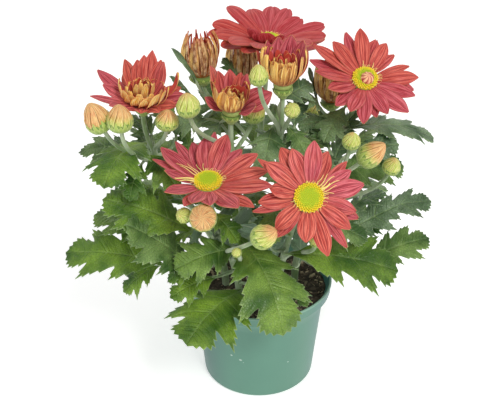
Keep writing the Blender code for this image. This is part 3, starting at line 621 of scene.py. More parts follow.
def head_axes(aim):
    """Two directions across a head and its aim, as rows."""
    aim = unit(vec(aim))
    first = unit(np.cross(vec((0, 1, 0)), aim))
    return np.stack([first, np.cross(aim, first), aim])


def place(points, centre, aim):
    """Points of a head's own frame carried to where it grows."""
    return vec(centre) + points @ head_axes(aim)


def bezier(p0, p1, p2, p3, steps):
    """Points along a cubic curve: the four control points weighted by the Bernstein cubics."""
    t = np.linspace(0, 1, steps + 1)[:, None]
    return (1 - t) ** 3 * p0 + 3 * (1 - t) ** 2 * t * p1 + 3 * (1 - t) * t * t * p2 + t ** 3 * p3


def heads_of(stem):
    """Where the stalk of each head ends and the way it points, the head that ends the stem first."""
    found = {}
    offsets = (-CUP_DEPTH, -CUP_DEPTH, BRUSH_LIFT - CUP_DEPTH, -BUD_DEPTH)
    for table, offset in zip((OPEN_BLOOMS, CUPPED_BLOOMS, BRUSH_HEADS, BUDS), offsets):
        for name, row in table.items():
            if row[0] == stem:
                aim = unit(vec(row[2]))
                found[name] = (vec(row[1]) + aim * offset, aim)
    return [found.pop(STEMS[stem][1])] + list(found.values())


def stem_line(foot, end, aim, steps):
    """A stem's middle line: straight up out of the mix, then a curve to its head's cup."""
    collar = vec((*foot, SOIL_TOP + 3.0))
    rise = end[2] - collar[2]
    curve = bezier(collar, collar + vec((0, 0, 0.35 * rise)), end - aim * 0.32 * rise, end, steps)
    return np.vstack([vec((*foot, STEM_FOOT)), curve])


def twig_line(trunk, end, aim, steps):
    """The curve from a fork on the stem to a side head."""
    away = np.hypot(*(trunk[:, :2] - end[:2]).T)
    fork = int(np.argmin(np.abs(trunk[:, 2] + 10 + 0.9 * away - end[2])))
    fork = min(max(fork, 3), len(trunk) - 3)
    start = trunk[fork]
    span = np.linalg.norm(end - start)
    climb = unit(trunk[fork + 1] - start)
    return bezier(start, start + climb * 0.35 * span, end - aim * 0.4 * span, end, steps)


def petiole_line(paths, base, leave, steps):
    """A leaf's stalk: a quadratic curve from the nearest stem or twig to inside the blade's base."""
    samples = np.concatenate([path[2:-1] for path in paths])
    away = np.hypot(*(samples[:, :2] - base[:2]).T)
    start = samples[int(np.argmin(np.abs(samples[:, 2] + 0.5 * away - base[2]) + 0.6 * away))]
    bend = base - leave * 0.5 * np.linalg.norm(base - start)
    t = np.linspace(0, 1, steps)[:, None]
    curve = (1 - t) ** 2 * start + 2 * (1 - t) * t * bend + t * t * base
    return np.vstack([curve, base + leave * PETIOLE_SUNK])


def stalk(path, radii, sides=14, ribs=0.07):
    """A ribbed round stalk along a path: rings at right angles to it, rippled by a cosine of five turns."""
    along = unit(np.gradient(path, axis=0))
    mean = np.abs(unit(path[-1] - path[0]))
    across = unit(np.cross(along, np.eye(3)[int(np.argmin(mean))]))
    other = np.cross(along, across)
    angle = 2 * np.pi * np.arange(sides) / sides
    radius = np.asarray(radii)[:, None] * (1 + ribs * np.cos(5 * angle))
    ring = across[:, None] * np.cos(angle)[:, None] + other[:, None] * np.sin(angle)[:, None]
    return (path[:, None] + ring * radius[..., None])[None]


def scales(count, rows_at, length, half, tilt, phase):
    """Small pointed scales round a cup. Row s along a scale lies at radius and height taken from the cup's
    outline rows_at; its half width is half (1 - s) ** 0.6, and its middle is raised as a keel."""
    s = np.linspace(0, 1, 6)
    u = np.linspace(-1, 1, 5)
    turn = 2 * np.pi * (np.arange(count) + phase) / count
    outline = vec(rows_at)
    at = np.linspace(0, 1, len(outline))
    radius = np.interp(s * length, at, outline[:, 0])[:, None] + SCALE_THICKNESS
    radius = radius + tilt * s[:, None] ** 2 + 0.18 * (1 - u ** 2)
    height = np.interp(s * length, at, outline[:, 1])[:, None] + 0 * u
    wide = half * np.maximum((1 - s) ** 0.6, 0.06)[:, None] * u
    out = np.stack([np.cos(turn), np.sin(turn)], -1)[:, None, None]
    side = np.stack([-np.sin(turn), np.cos(turn)], -1)[:, None, None]
    flat = out * radius[None, ..., None] + side * wide[None, ..., None]
    grid = np.concatenate([flat, np.broadcast_to(height[None, ..., None], flat.shape[:3] + (1,))], -1)
    return grid, s[None, :, None] * length, u[None, None, :]


def bloom_cup(batch, centre, aim, radius):
    """The cup under an open head: a bowl turned round the head's axis, with two rows of scales."""
    rows = [
        (1.7, -11.6), (STEM_TOP_RADIUS + 0.5, -10.8), (radius * 0.45, -9.8), (radius * 0.72, -8.3),
        (radius * 0.93, -6.4), (radius, -5.0), (radius * 0.97, -4.1),
    ]
    batch.rings(place(lathe(rows, 24), centre, aim), 2, along=0.1, across=0.0)
    for ring, reach in enumerate((0.75, 1.0)):
        grid, along, across = scales(11, rows[1:], reach, radius * 0.27, 0.3, 0.5 * ring)
        batch.sheets(place(grid, centre, aim), SCALE_THICKNESS, 2, along=along, across=across)


def bud_outline(share):
    """Radius of a closed bud, as a share of its widest, at a share of its height."""
    return np.sin(np.pi * np.minimum(1.0, 0.12 + 0.88 * np.asarray(share) ** 0.8)) ** 0.62


def bud_cup(batch, centre, aim, length, radius):
    """The cup of a bud: a bowl that follows the bud's own outline, with two rows of scales hugging it."""
    shares = np.linspace(0.02, 0.40, 7)
    rows = [(TWIG_RADIUS, -1.6), (TWIG_RADIUS + 0.4, -0.6)]
    rows += [(radius * bud_outline(s) + 0.1, length * s) for s in shares]
    batch.rings(place(lathe(rows, 24), centre, aim), 2, along=0.2, across=0.0)
    for ring, reach in enumerate((0.8, 1.0)):
        hug = rows[1:] + [(radius * bud_outline(0.52) + 0.1, length * 0.52)]
        grid, along, across = scales(9, hug, reach, radius * 0.33, 0.0, 0.5 * ring)
        batch.sheets(place(grid, centre, aim), SCALE_THICKNESS, 2, along=along, across=across)


def stalk_green():
    """Grey-green downy stalk with paler ribs."""
    skin = Finish("stalk", Specular_IOR_Level=0.3, Sheen_Weight=0.35, Sheen_Roughness=0.6)
    streaks = skin.noise(skin.place((1.0, 1.0, 0.12)), 900.0, 3.0)
    cloud = skin.noise(skin.place(), 60.0, 2.0)
    colour = skin.mix(paint(112, 140, 84), paint(168, 184, 150), cloud.between(0.35, 0.7))
    colour = skin.mix(colour, paint(190, 200, 172), streaks.between(0.5, 0.8) * 0.6)
    skin.feed(Base_Color=colour, Roughness=0.6)
    skin.bump(streaks, 0.0003, 0.5)
    return skin


def cup_green():
    """Fresh green scales with a thin paler margin."""
    skin = Finish("cup_scales", Specular_IOR_Level=0.3, Sheen_Weight=0.2)
    margin = abs(skin.value("across")).between(0.55, 1.0)
    along = skin.value("along")
    grain = skin.noise(skin.place(), 700.0, 2.0)
    colour = skin.mix(paint(118, 148, 66), paint(168, 188, 92), along.between(0.0, 0.9))
    colour = skin.mix(colour, paint(204, 212, 140), margin * 0.6)
    colour = skin.mix(colour, paint(104, 130, 64), grain.between(0.5, 0.9) * 0.4)
    skin.feed(Base_Color=colour, Roughness=0.55)
    skin.bump(grain, 0.0002, 0.5)
    return skin


# The leaves
# Alternate soft blades, each cut into two pairs of toothed lobes and a toothed tip. The veins run from
# the midrib to the lobes' points and lie sunk in the face; the back is pale grey green.
LEAF_THICKNESS = 0.45
# Outline of half a blade in shares of its length: place on the midrib, place of the edge, half width.
# Veins: the row of the outline that each runs to, and how faint it is
LARGE_EDGE = vec((
    (0.00, 0.00, 0.020), (0.05, 0.07, 0.045), (0.10, 0.14, 0.090), (0.14, 0.20, 0.140),
    (0.17, 0.25, 0.205), (0.185, 0.27, 0.192), (0.21, 0.335, 0.262), (0.225, 0.35, 0.240),
    (0.25, 0.42, 0.325), (0.265, 0.43, 0.298), (0.30, 0.490, 0.366), (0.315, 0.468, 0.300),
    (0.33, 0.48, 0.282), (0.35, 0.465, 0.228), (0.37, 0.455, 0.192), (0.39, 0.462, 0.176),
    (0.41, 0.50, 0.205), (0.435, 0.55, 0.250), (0.455, 0.585, 0.282), (0.47, 0.605, 0.262),
    (0.49, 0.67, 0.332), (0.505, 0.685, 0.306), (0.525, 0.745, 0.360), (0.54, 0.750, 0.334),
    (0.56, 0.812, 0.374), (0.58, 0.775, 0.306), (0.60, 0.795, 0.290), (0.625, 0.762, 0.230),
    (0.65, 0.742, 0.186), (0.68, 0.738, 0.162), (0.705, 0.768, 0.176), (0.735, 0.815, 0.212),
    (0.75, 0.82, 0.180), (0.785, 0.882, 0.234), (0.80, 0.878, 0.200), (0.835, 0.93, 0.214),
    (0.85, 0.918, 0.170), (0.89, 0.962, 0.158), (0.905, 0.95, 0.110), (0.945, 0.985, 0.094),
    (0.955, 0.975, 0.056), (1.00, 1.00, 0.004),
))
LARGE_VEINS = (
    (4, 0.45), (6, 0.45), (8, 0.45), (10, 0.0), (12, 0.5), (18, 0.45), (20, 0.45), (22, 0.45), (24, 0.0),
    (26, 0.5), (31, 0.4), (33, 0.2), (35, 0.2), (37, 0.4),
)
SMALL_EDGE = vec((
    (0.00, 0.00, 0.030), (0.07, 0.10, 0.070), (0.13, 0.20, 0.150), (0.17, 0.27, 0.222),
    (0.19, 0.29, 0.206), (0.215, 0.36, 0.288), (0.23, 0.37, 0.264), (0.25, 0.452, 0.348),
    (0.275, 0.42, 0.270), (0.30, 0.44, 0.250), (0.34, 0.428, 0.196), (0.40, 0.446, 0.164),
    (0.43, 0.51, 0.206), (0.46, 0.58, 0.270), (0.475, 0.59, 0.250), (0.51, 0.69, 0.332),
    (0.525, 0.69, 0.304), (0.56, 0.80, 0.368), (0.59, 0.755, 0.278), (0.61, 0.772, 0.256),
    (0.65, 0.738, 0.188), (0.70, 0.745, 0.150), (0.74, 0.80, 0.172), (0.78, 0.875, 0.206),
    (0.80, 0.865, 0.168), (0.85, 0.925, 0.174), (0.87, 0.915, 0.118), (0.93, 0.968, 0.096),
    (0.945, 0.962, 0.052), (1.00, 1.00, 0.006),
))
SMALL_VEINS = (
    (3, 0.4), (5, 0.3), (7, 0.0), (9, 0.5), (13, 0.4), (15, 0.3), (17, 0.0), (19, 0.5), (23, 0.3),
    (25, 0.3),
)
STRAP_EDGE = vec((
    (0.00, 0.00, 0.050), (0.10, 0.12, 0.070), (0.25, 0.27, 0.090), (0.45, 0.48, 0.112), (0.52, 0.56, 0.105),
    (0.65, 0.68, 0.122), (0.75, 0.78, 0.115), (0.88, 0.90, 0.090), (0.95, 0.97, 0.060), (1.00, 1.00, 0.012),
))
STRAP_VEINS = ((3, 0.4), (5, 0.4))
EDGES = {
    "large": (LARGE_EDGE, LARGE_VEINS), "small": (SMALL_EDGE, SMALL_VEINS),
    "strap": (STRAP_EDGE, STRAP_VEINS),
}
LEAF_COLUMNS = vec((0.0, 0.06, 0.18, 0.36, 0.54, 0.72, 0.88, 1.0))
# How dark, blue and grey a leaf is painted, as painted shade and sheen on the leaves to the right and higher
# up:
# a start, and its rise with its foot's place to the right and its tip's height
LEAF_TONE_AND_SHEEN = (0.12, 0.0042, 0.0052)


def vein_distance(flat, edge, veins, length, breadth):
    """Distance in millimetres from each flat point to the nearest vein: the midrib, or the straight line
    from the midrib to a tooth, where a small vein counts as lying a little further off."""
    across = np.abs(flat[..., 1])
    nearest = across.copy()
    for row, faint in veins:
        root = vec((edge[row, 0], 0)) * length
        tip = vec((edge[row, 1], edge[row, 2] * breadth)) * length
        way = unit(tip - root)
        point = np.stack([flat[..., 0], across], -1) - root
        reach = np.clip(point @ way, 0, np.linalg.norm(tip - root) * 0.96)
        off = np.linalg.norm(point - reach[..., None] * way, axis=-1)
        nearest = np.minimum(nearest, off + faint)
    return nearest


def leaf_blade(batch, index, kind, base, tip, arch, roll, breadth):
    """A blade: each row runs straight from the midrib to the edge. It is arched along the leaf by
    4 a x (1 - x), dished by its width, waved along its edge by two sines, twisted by x times y, puffed up
    between its veins and let down at its edge. Returns the direction in which it leaves its stalk."""
    edge, veins = EDGES[kind]
    base, tip = vec(base), vec(tip)
    length = np.linalg.norm(tip - base)
    along = (tip - base) / length
    up = unit(vec((0, 0, 1)) - along * along[2])
    left = np.cross(up, along)
    turn = math.radians(roll)
    left, up = left * math.cos(turn) + up * math.sin(turn), up * math.cos(turn) - left * math.sin(turn)
    u = np.concatenate([-LEAF_COLUMNS[:0:-1], LEAF_COLUMNS])
    middle, rim = edge[:, :1], edge[:, 1:2]
    half = np.maximum(edge[:, 2:] * breadth, 0.35 / length)
    side = np.where(u < 0, 1 + 0.06 * sway(index, 1), 1 + 0.06 * sway(index, 2))
    x = middle + (rim - middle) * np.abs(u)
    y = -half * u * side
    flat = np.stack([x, y], -1) * length
    vein = vein_distance(flat, edge, veins, length, breadth)
    off = np.abs(u)
    wave = 0.017 * off ** 1.5 * np.sin(9.5 * x + 2.5 * sway(index, 3) + np.sign(u) * 1.1)
    wave = wave + 0.008 * off ** 2 * np.sin(31 * x + 4 * sway(index, 7))
    twist = 0.10 * sway(index, 4) * y * x
    puff = 0.013 * np.clip(vein / (0.06 * length), 0, 1) ** 0.7 * (1 - off ** 6)
    droop = -0.05 * np.maximum(off - 0.55, 0) ** 2 * (1 + 0.5 * sway(index, 8))
    z = 4 * arch * x * (1 - x) + 0.10 * np.abs(y) - 0.45 * y ** 2 + wave + twist + puff + droop
    points = base + length * (along * x[..., None] + left * y[..., None] + up * z[..., None])
    start, with_side, with_height = LEAF_TONE_AND_SHEEN
    # Painted light: leaves further right and higher up get more painted shade and grey sheen; the sway adds
    # each leaf's own tone.
    age = start + with_side * base[0] + with_height * (tip[2] - 90) + 0.12 * sway(index, 5)
    batch.sheets(
        points[None], LEAF_THICKNESS, 1, vein=vein[None], across=u[None, None, :], along=x[None],
        age=age, tint=sway(index, 6),
    )
    return unit(along + 4 * arch * up)


def leaf_green():
    """Leaf green, painted darker, bluer and greyer on the leaves to the right and higher up as painted shade
    and sheen, with thin pale veins, a net of fine sunk veins darkened by painted shade, a pale edge that is
    a painted glint, and a grey-green back."""
    skin = Finish("leaf", Specular_IOR_Level=0.42, Subsurface_Weight=0.08, Subsurface_Scale=0.0012)
    skin.feed(Subsurface_Radius=(0.4, 1.0, 0.15))
    point = skin.place()
    age, tint, vein = skin.value("age"), skin.value("tint"), skin.value("vein")
    cloud, grain = skin.noise(point, 55.0, 4.0), skin.noise(point, 1000.0, 3.0)
    net = skin.node("TexVoronoi", {"feature": "DISTANCE_TO_EDGE"}, {"Vector": point, "Scale": 620.0})
    # young is the bright yellow green painted on the leaves low on the left, the lit end of the painted
    # light; the other end is painted shade and grey sheen.
    young = skin.mix(paint(54, 94, 14), paint(128, 162, 46), cloud.between(0.3, 0.7))
    shaded_sheen_green = skin.mix(paint(52, 82, 44), paint(142, 166, 128), cloud.between(0.3, 0.75))
    colour = skin.mix(young, shaded_sheen_green, (age + 0.18 * tint).between(0.0, 1.0))
    # Painted shade: a darker green in the sunk net of fine veins.
    colour = skin.mix(colour, paint(34, 66, 18), (1 - net.between(0.0, 0.16)) * 0.35)
    width = 0.10 + 0.20 * (1 - skin.value("along"))
    lines = 1 - (vein / width).between(0.5, 1.7)
    colour = skin.mix(colour, paint(150, 176, 104), lines * 0.34)
    # Painted glint: a pale line along the leaf's edge.
    rim = abs(skin.value("across")).between(0.94, 1.0)
    colour = skin.mix(colour, paint(186, 204, 150), rim * (0.15 + 0.4 * cloud))
    back = skin.mix(paint(104, 134, 100), paint(150, 174, 146), cloud)
    back = skin.mix(back, paint(176, 194, 160), lines * 0.7)
    colour = skin.mix(colour, back, skin.value("under"))
    skin.feed(Base_Color=colour, Roughness=0.26 + 0.26 * grain)
    height = vein.between(0.0, 1.0) + 0.35 * net.between(0.0, 0.2) + 0.15 * grain
    skin.bump(height + 0.4 * skin.noise(point, 240.0, 2.0), 0.0005, 0.85)
    return skin


stem_finishes = [stalk_green(), leaf_green(), cup_green()]


def leafy_stem(name):
    """One stem with its twigs, leaf stalks, leaves and cups. Twigs and leaf stalks start from the points of
    a coarser line of the stem."""
    batch = Batch()
    (end, aim), *others = heads_of(name)
    foot = STEMS[name][0]
    trunk = stem_line(foot, end, aim, 8)
    fine = stem_line(foot, end, aim, 40)
    batch.rings(stalk(fine, np.linspace(STEM_RADIUS, STEM_TOP_RADIUS, len(fine))), 0)
    paths = [trunk]
    for end, aim in others:
        paths.append(twig_line(trunk, end, aim, 3))
        fine = twig_line(trunk, end, aim, 18)
        batch.rings(stalk(fine, np.linspace(TWIG_RADIUS + 0.2, TWIG_RADIUS, len(fine)), 10), 0)
    young = [("small", base, tip, 0.12, 0, breadth) for base, tip, breadth in YOUNG_LEAVES[name]]
    for index, row in enumerate([*LEAVES[name], *young]):
        leave = leaf_blade(batch, index + len(name), *row)
        line = petiole_line(paths, vec(row[1]), leave, PETIOLE_STEPS)
        radii = np.append(np.linspace(1.15, 0.85, PETIOLE_STEPS) * PETIOLE_RADIUS, PETIOLE_END_RADIUS)
        batch.rings(stalk(line, radii, 10, 0.1), 0)
    for stem, centre, aim, _, disc, *_ in OPEN_BLOOMS.values():
        if stem == name:
            bloom_cup(batch, vec(centre), aim, disc - 0.6)
    for stem, centre, aim, *_ in CUPPED_BLOOMS.values():
        if stem == name:
            bloom_cup(batch, vec(centre), aim, CUPPED_CUP_RADIUS)
    for stem, centre, aim, _, radius in BRUSH_HEADS.values():
        if stem == name:
            bloom_cup(batch, vec(centre) + unit(vec(aim)) * BRUSH_LIFT, aim, radius * 0.8)
    for stem, *bud in BUDS.values():
        if stem == name:
            bud_cup(batch, *bud)
    piece = batch.build("leafy_" + name, stem_finishes)
    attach(piece, "root")
    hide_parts(name)


for stem_name in STEMS:
    leafy_stem(stem_name)

# The open blooms
# A daisy of two layers of strap petals on a green plate. The petals are brick red with rose and orange
# tints, grooved lengthwise, a little notched at the tip, and dull gold on the back.
PETAL_ROOT = 6.0
PETAL_ROWS = 1 - (1 - np.linspace(0, 1, 17)) ** 1.35
PETAL_COLUMNS = np.linspace(-1, 1, 9)
PETAL_THICKNESS = 0.35
PETAL_STEPS = 24
THREE_HALF_TURNS = 9.42
# How deep a petal's grooves are, and how far it is rolled to one side, as a slope
GROOVE = 0.16
TUCK = 0.17
# Half width of a petal from root to tip: place, share of its full half width
PETAL_OUTLINE = vec((
    (0, 0.36), (0.12, 0.52), (0.3, 0.82), (0.46, 0.97), (0.6, 1), (0.72, 0.93), (0.83, 0.72),
    (0.92, 0.42), (1, 0.07),
))
BLUNT_OUTLINE = vec((
    (0, 0.36), (0.12, 0.52), (0.32, 0.84), (0.55, 0.97), (0.72, 1), (0.84, 0.9), (0.93, 0.66),
    (0.98, 0.4), (1, 0.2),
))
HEART_OUTLINE = vec((
    (0, 0.50), (0.2, 0.72), (0.45, 0.97), (0.66, 1), (0.84, 0.86), (0.94, 0.58), (1, 0.20),
))
BRUSH_OUTLINE = vec(((0, 0.5), (0.3, 0.85), (0.6, 1), (0.8, 0.82), (0.93, 0.48), (1, 0.12)))


def all_round(seed, count, phase):
    """Rows of petals evenly round a head: turn in degrees, share of the length and share of the half width,
    each with a small sway of its own."""
    k = np.arange(count)
    turn = 360 * (k + phase) / count + 4 * sway(seed, k)
    return np.stack([turn, 1 + 0.09 * sway(seed + 2, k), 1 + 0.14 * sway(seed + 8, k)], 1)


def petal_ring(
    seed, rows, root, start, lifts, length, half, outline=PETAL_OUTLINE, curl=0.5, tuck=TUCK, nod=0.0
):
    """Petals round a head, each by its row of turn, length and width. The middle line climbs at a slope
    that runs from the first lift to the second, so its reach and height are running sums of cosine and
    sine. Across, the petal is rolled by tuck plus nod times the cosine of its turn, cupped by curl u
    squared and grooved by a cosine of three half turns. Its tip droops by a square and has a small notch."""
    rows = vec(rows)
    k = np.arange(len(rows))
    turn, own, half = np.radians(rows[:, 0]), length * rows[:, 1], half * rows[:, 2, None, None]
    last = lifts[1] + 3 * sway(seed + 1, k)
    slope = np.radians(lifts[0] + (last - lifts[0])[:, None] * np.linspace(0, 1, PETAL_STEPS))
    at = PETAL_ROWS * PETAL_STEPS
    low = np.minimum(at.astype(int), PETAL_STEPS - 1)
    step = (own / PETAL_STEPS)[:, None]
    run = [np.concatenate([np.zeros((len(k), 1)), np.cumsum(f(slope), 1)], 1) for f in (np.cos, np.sin)]
    reach, height = (total[:, low] * step + (at - low) * step * f(slope)[:, low]
                     for total, f in zip(run, (np.cos, np.sin)))
    angle = slope[:, low][..., None]
    u, s = PETAL_COLUMNS, PETAL_ROWS[None, :, None]

    def own_way(number):
        return sway(seed + number, k)[:, None, None]

    wide = -half * np.interp(PETAL_ROWS, *outline.T)[None, :, None] * u
    lift = curl * (0.4 + 0.6 * own_way(4)) * u ** 2 * (0.4 + s)
    lift = lift + GROOVE * np.cos(3 * np.pi * u) * np.sin(np.pi * np.minimum(s * 1.05, 1))
    roll = tuck * (1 + 0.5 * own_way(9)) + nod * np.cos(turn)[:, None, None]
    lift = lift + roll * wide * np.minimum(s * 2.5, 1)
    lift = lift - (0.9 + 0.9 * own_way(5)) * np.maximum(s - 0.72, 0) ** 2 * 12
    wide = wide + 1.6 * own_way(3) * s ** 2
    notch = (0.45 + 0.4 * own_way(6)) * np.exp(-(u / 0.25) ** 2) * s ** 14
    out = root + reach[..., None] - notch - lift * np.sin(angle)
    rise = start + height[..., None] + lift * np.cos(angle)
    c, d = np.cos(turn)[:, None, None], np.sin(turn)[:, None, None]
    grid = np.stack(np.broadcast_arrays(c * out - d * wide, d * out + c * wide, rise), -1)
    return grid, dict(along=s, across=u, tint=own_way(7))


def petal_red():
    """Velvety brick red with fine lengthwise veins, more rose or more orange by petal; painted shade in the
    grooves and on some whole blooms, paler edges that are partly a painted highlight; gold on the back.
    """
    skin = Finish("petal_red", Specular_IOR_Level=0.2, Sheen_Weight=0.06, Sheen_Roughness=0.5)
    skin.feed(Subsurface_Weight=0.1, Subsurface_Scale=0.001, Subsurface_Radius=(1.0, 0.25, 0.2))
    along, across, tint = skin.value("along"), skin.value("across"), skin.value("tint")
    weave = skin.node("CombineXYZ", None, {"X": across * 7.0, "Y": along * 1.4, "Z": tint * 9.0})
    veins = skin.noise(weave, 1.6, 4.0, 0.65)
    cloud = skin.noise(skin.place(), 90.0, 2.0)
    rose = skin.mix(paint(172, 50, 66), paint(228, 128, 134), veins.between(0.36, 0.70))
    brick = skin.mix(paint(178, 52, 46), paint(236, 134, 114), veins.between(0.36, 0.70))
    colour = skin.mix(rose, brick, (tint * 0.5 + cloud).between(0.1, 0.9))
    colour = skin.mix(colour, paint(112, 22, 32), (1 - veins).between(0.52, 0.72) * 0.75)
    # Painted shade: darker red in the grooves, where the cosine of three half turns sinks the petal.
    wave = across * THREE_HALF_TURNS
    furrow = wave.math("COSINE", wave)
    colour = skin.mix(colour, paint(116, 26, 34), (0 - furrow).between(0.3, 1.0) * 0.52)
    # Paler edges on the face: partly the petal's own paler margin, partly a painted highlight.
    edge = abs(across).between(0.84, 1.0)
    colour = skin.mix(colour, paint(230, 136, 122), edge * 0.45 * veins.between(0.3, 0.6))
    colour = skin.mix(colour, paint(206, 100, 84), (1 - along).between(0.75, 1.0) * 0.4)
    # Painted shade: whole blooms turn a deeper, darker red by their deep value.
    colour = skin.mix(colour, paint(176, 38, 36), skin.value("deep"))
    back = skin.mix(paint(196, 130, 66), paint(226, 178, 116), veins)
    back = skin.mix(back, paint(190, 84, 62), cloud.between(0.4, 0.7) * 0.5)
    colour = skin.mix(colour, back, skin.value("under") * (1 - skin.value("red_back")))
    skin.feed(Base_Color=colour, Roughness=0.52)
    skin.bump(veins, 0.00035, 0.6)
    return skin


def plate_green():
    """The pale green plate that the petals stand on."""
    skin = Finish("plate", Base_Color=paint(150, 168, 92), Roughness=0.6)
    skin.bump(skin.noise(skin.place(), 500.0, 2.0), 0.0002, 0.5)
    return skin


bloom_finishes = [petal_red(), plate_green()]

# Blooms painted a deeper, darker red than the others as painted shade, and by how much
SHADED_BLOOMS = {"bloom_back": 0.5, "bloom_right": 0.16}
# How far the petals at both sides of a head roll towards its front, as a slope
NODS = {"bloom_back": 0.42}
# Short near petals that stand up before the disc: their rows and their lifts
RAISED = {
    "bloom_back": (
        (
            (204, 0.30, 0.8), (224, 0.34, 0.9), (243, 0.27, 0.95), (262, 0.31, 0.9), (282, 0.2, 0.8),
            (300, 0.24, 0.8),
        ),
        (40, 84),
    ),
}
# Petals of the upper and the lower layer: turn in degrees, share of the length, share of the half width
LAYERS = {
    "bloom_front_right": (
        (
            (15, 1.01, 1.05), (33, 0.87, 0.85), (84, 1.02, 1.05), (108, 0.9, 1.0), (140, 0.98, 1.05),
            (165, 0.66, 0.9), (224, 0.78, 0.95), (268, 0.76, 1.05), (291, 1.12, 0.95), (327, 0.91, 0.9),
            (348, 0.85, 0.9),
        ),
        (
            (42, 0.98, 0.62), (66, 0.92, 1.0), (119, 1.07, 1.1), (144, 1.22, 0.55), (188, 0.91, 0.95),
            (198, 1.07, 0.5), (236, 0.91, 0.7), (312, 1.2, 0.62), (342, 0.99, 0.8),
        ),
    ),
    "bloom_front_left": (
        (
            (3, 1.09, 1.0), (32, 1.04, 1.0), (75, 1.13, 1.15), (96, 1.01, 1.2), (144, 1.14, 1.15),
            (171, 0.75, 0.85), (213, 0.84, 0.85), (250, 0.7, 1.0), (273, 0.72, 1.0), (298, 1.12, 1.15),
            (336, 1.28, 1.1),
        ),
        (
            (55, 1.0, 0.9), (87, 1.32, 0.7), (108, 1.07, 1.0), (122, 1.24, 0.7), (152, 1.19, 0.6),
            (194, 0.72, 0.75), (235, 0.7, 0.9), (314, 1.17, 0.8), (350, 1.06, 1.0),
        ),
    ),
    "bloom_right": (
        (
            (0, 0.97, 0.95), (60, 0.84, 0.9), (94, 1.06, 1.0), (130, 0.93, 1.1), (150, 1.16, 0.95),
            (180, 0.92, 0.9), (207, 0.7, 1.05), (252, 0.78, 1.0), (268, 1.04, 0.9), (297, 0.84, 0.9),
            (315, 1.07, 1.05), (336, 0.96, 0.9),
        ),
        (
            (24, 0.92, 0.5), (48, 0.79, 0.6), (78, 0.91, 1.0), (112, 1.09, 0.8), (165, 1.12, 0.9),
            (230, 0.8, 0.9), (284, 0.8, 0.8), (348, 0.92, 1.0),
        ),
    ),
    "bloom_back": (
        (
            (10, 1.0, 0.95), (48, 0.85, 1.0), (69, 1.07, 0.9), (84, 1.1, 1.15), (106, 1.03, 1.1),
            (126, 1.24, 0.85), (168, 1.0, 1.0), (205, 1.05, 1.0), (232, 1.1, 1.0), (258, 1.05, 1.0),
            (284, 1.0, 1.0), (309, 1.12, 0.95), (338, 1.05, 1.0),
        ),
        (
            (26, 0.8, 0.85), (60, 0.95, 0.9), (95, 1.12, 0.9), (114, 1.16, 0.8), (148, 0.9, 0.9),
            (180, 1.08, 0.85), (220, 1.05, 0.9), (246, 1.0, 0.9), (270, 1.0, 0.9), (322, 1.05, 0.9),
            (352, 1.0, 0.9),
        ),
    ),
}


def open_petals(name, centre, aim, reach, disc, lifts, half):
    """Both layers of petals and the plate of one open bloom."""
    top = -0.6 - (disc - PETAL_ROOT) * math.tan(math.radians(lifts[0]))
    batch = Batch()
    plate = [
        (1.0, -3.8), (disc - 0.8, -3.8), (disc, -3.0), (disc + 0.2, -1.2), (disc - 0.5, -0.35),
        (1.0, -0.35),
    ]
    batch.rings(place(lathe(plate, 32), centre, aim), 1)
    seed, length = len(name), reach - PETAL_ROOT
    outline = BLUNT_OUTLINE if name == "bloom_back" else PETAL_OUTLINE
    lower = (lifts[0] - 5, lifts[1] - 7)
    over, under = LAYERS[name]
    way = {"tuck": 0.0, "nod": NODS[name]} if name in NODS else {}
    layers = [
        petal_ring(seed, over, PETAL_ROOT, top, lifts, length, half, outline, **way),
        petal_ring(seed + 5, under, PETAL_ROOT, top - 1.1, lower, length * 0.97, half, outline, **way),
    ]
    if name in RAISED:
        near, rise = RAISED[name]
        grid, values = petal_ring(seed + 2, near, disc + 0.6, -0.4, rise, length, half, outline)
        layers.append((grid, {**values, "red_back": 1.0}))
    for grid, values in layers:
        batch.sheets(place(grid, centre, aim), PETAL_THICKNESS, 0, deep=SHADED_BLOOMS.get(name, 0.0), **values)
    piece = batch.build(name + "_rays", bloom_finishes)
    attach(piece, "root")
    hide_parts(name + "_petals")


for bloom_name, (_, *bloom_row) in OPEN_BLOOMS.items():
    open_petals(bloom_name, *bloom_row)

# The discs
# The middle of an open bloom: a low dome packed with tube florets in a spiral, shut and lime green in the
# middle, open and yellow round the rim, where a few pale curled styles stick out.
FLORET_COUNT = 190
GOLDEN_TURN = 2.39996
KNOB_PETALS = 8
STYLE_COUNT = 26
FAR_STYLES = 14
STYLE_HALF = 0.24
# A floret from foot to tip: radius, height
FLORET_ROWS = vec(((0.30, -0.6), (0.42, 0.0), (0.50, 0.35), (0.44, 0.62), (0.20, 0.80)))


def disc_height(share):
    """Height of the dome at a share of its radius: a low crown that dips in the middle."""
    return 2.5 - 2.2 * share ** 4 + 0.7 * np.sin(np.pi * share ** 1.2)


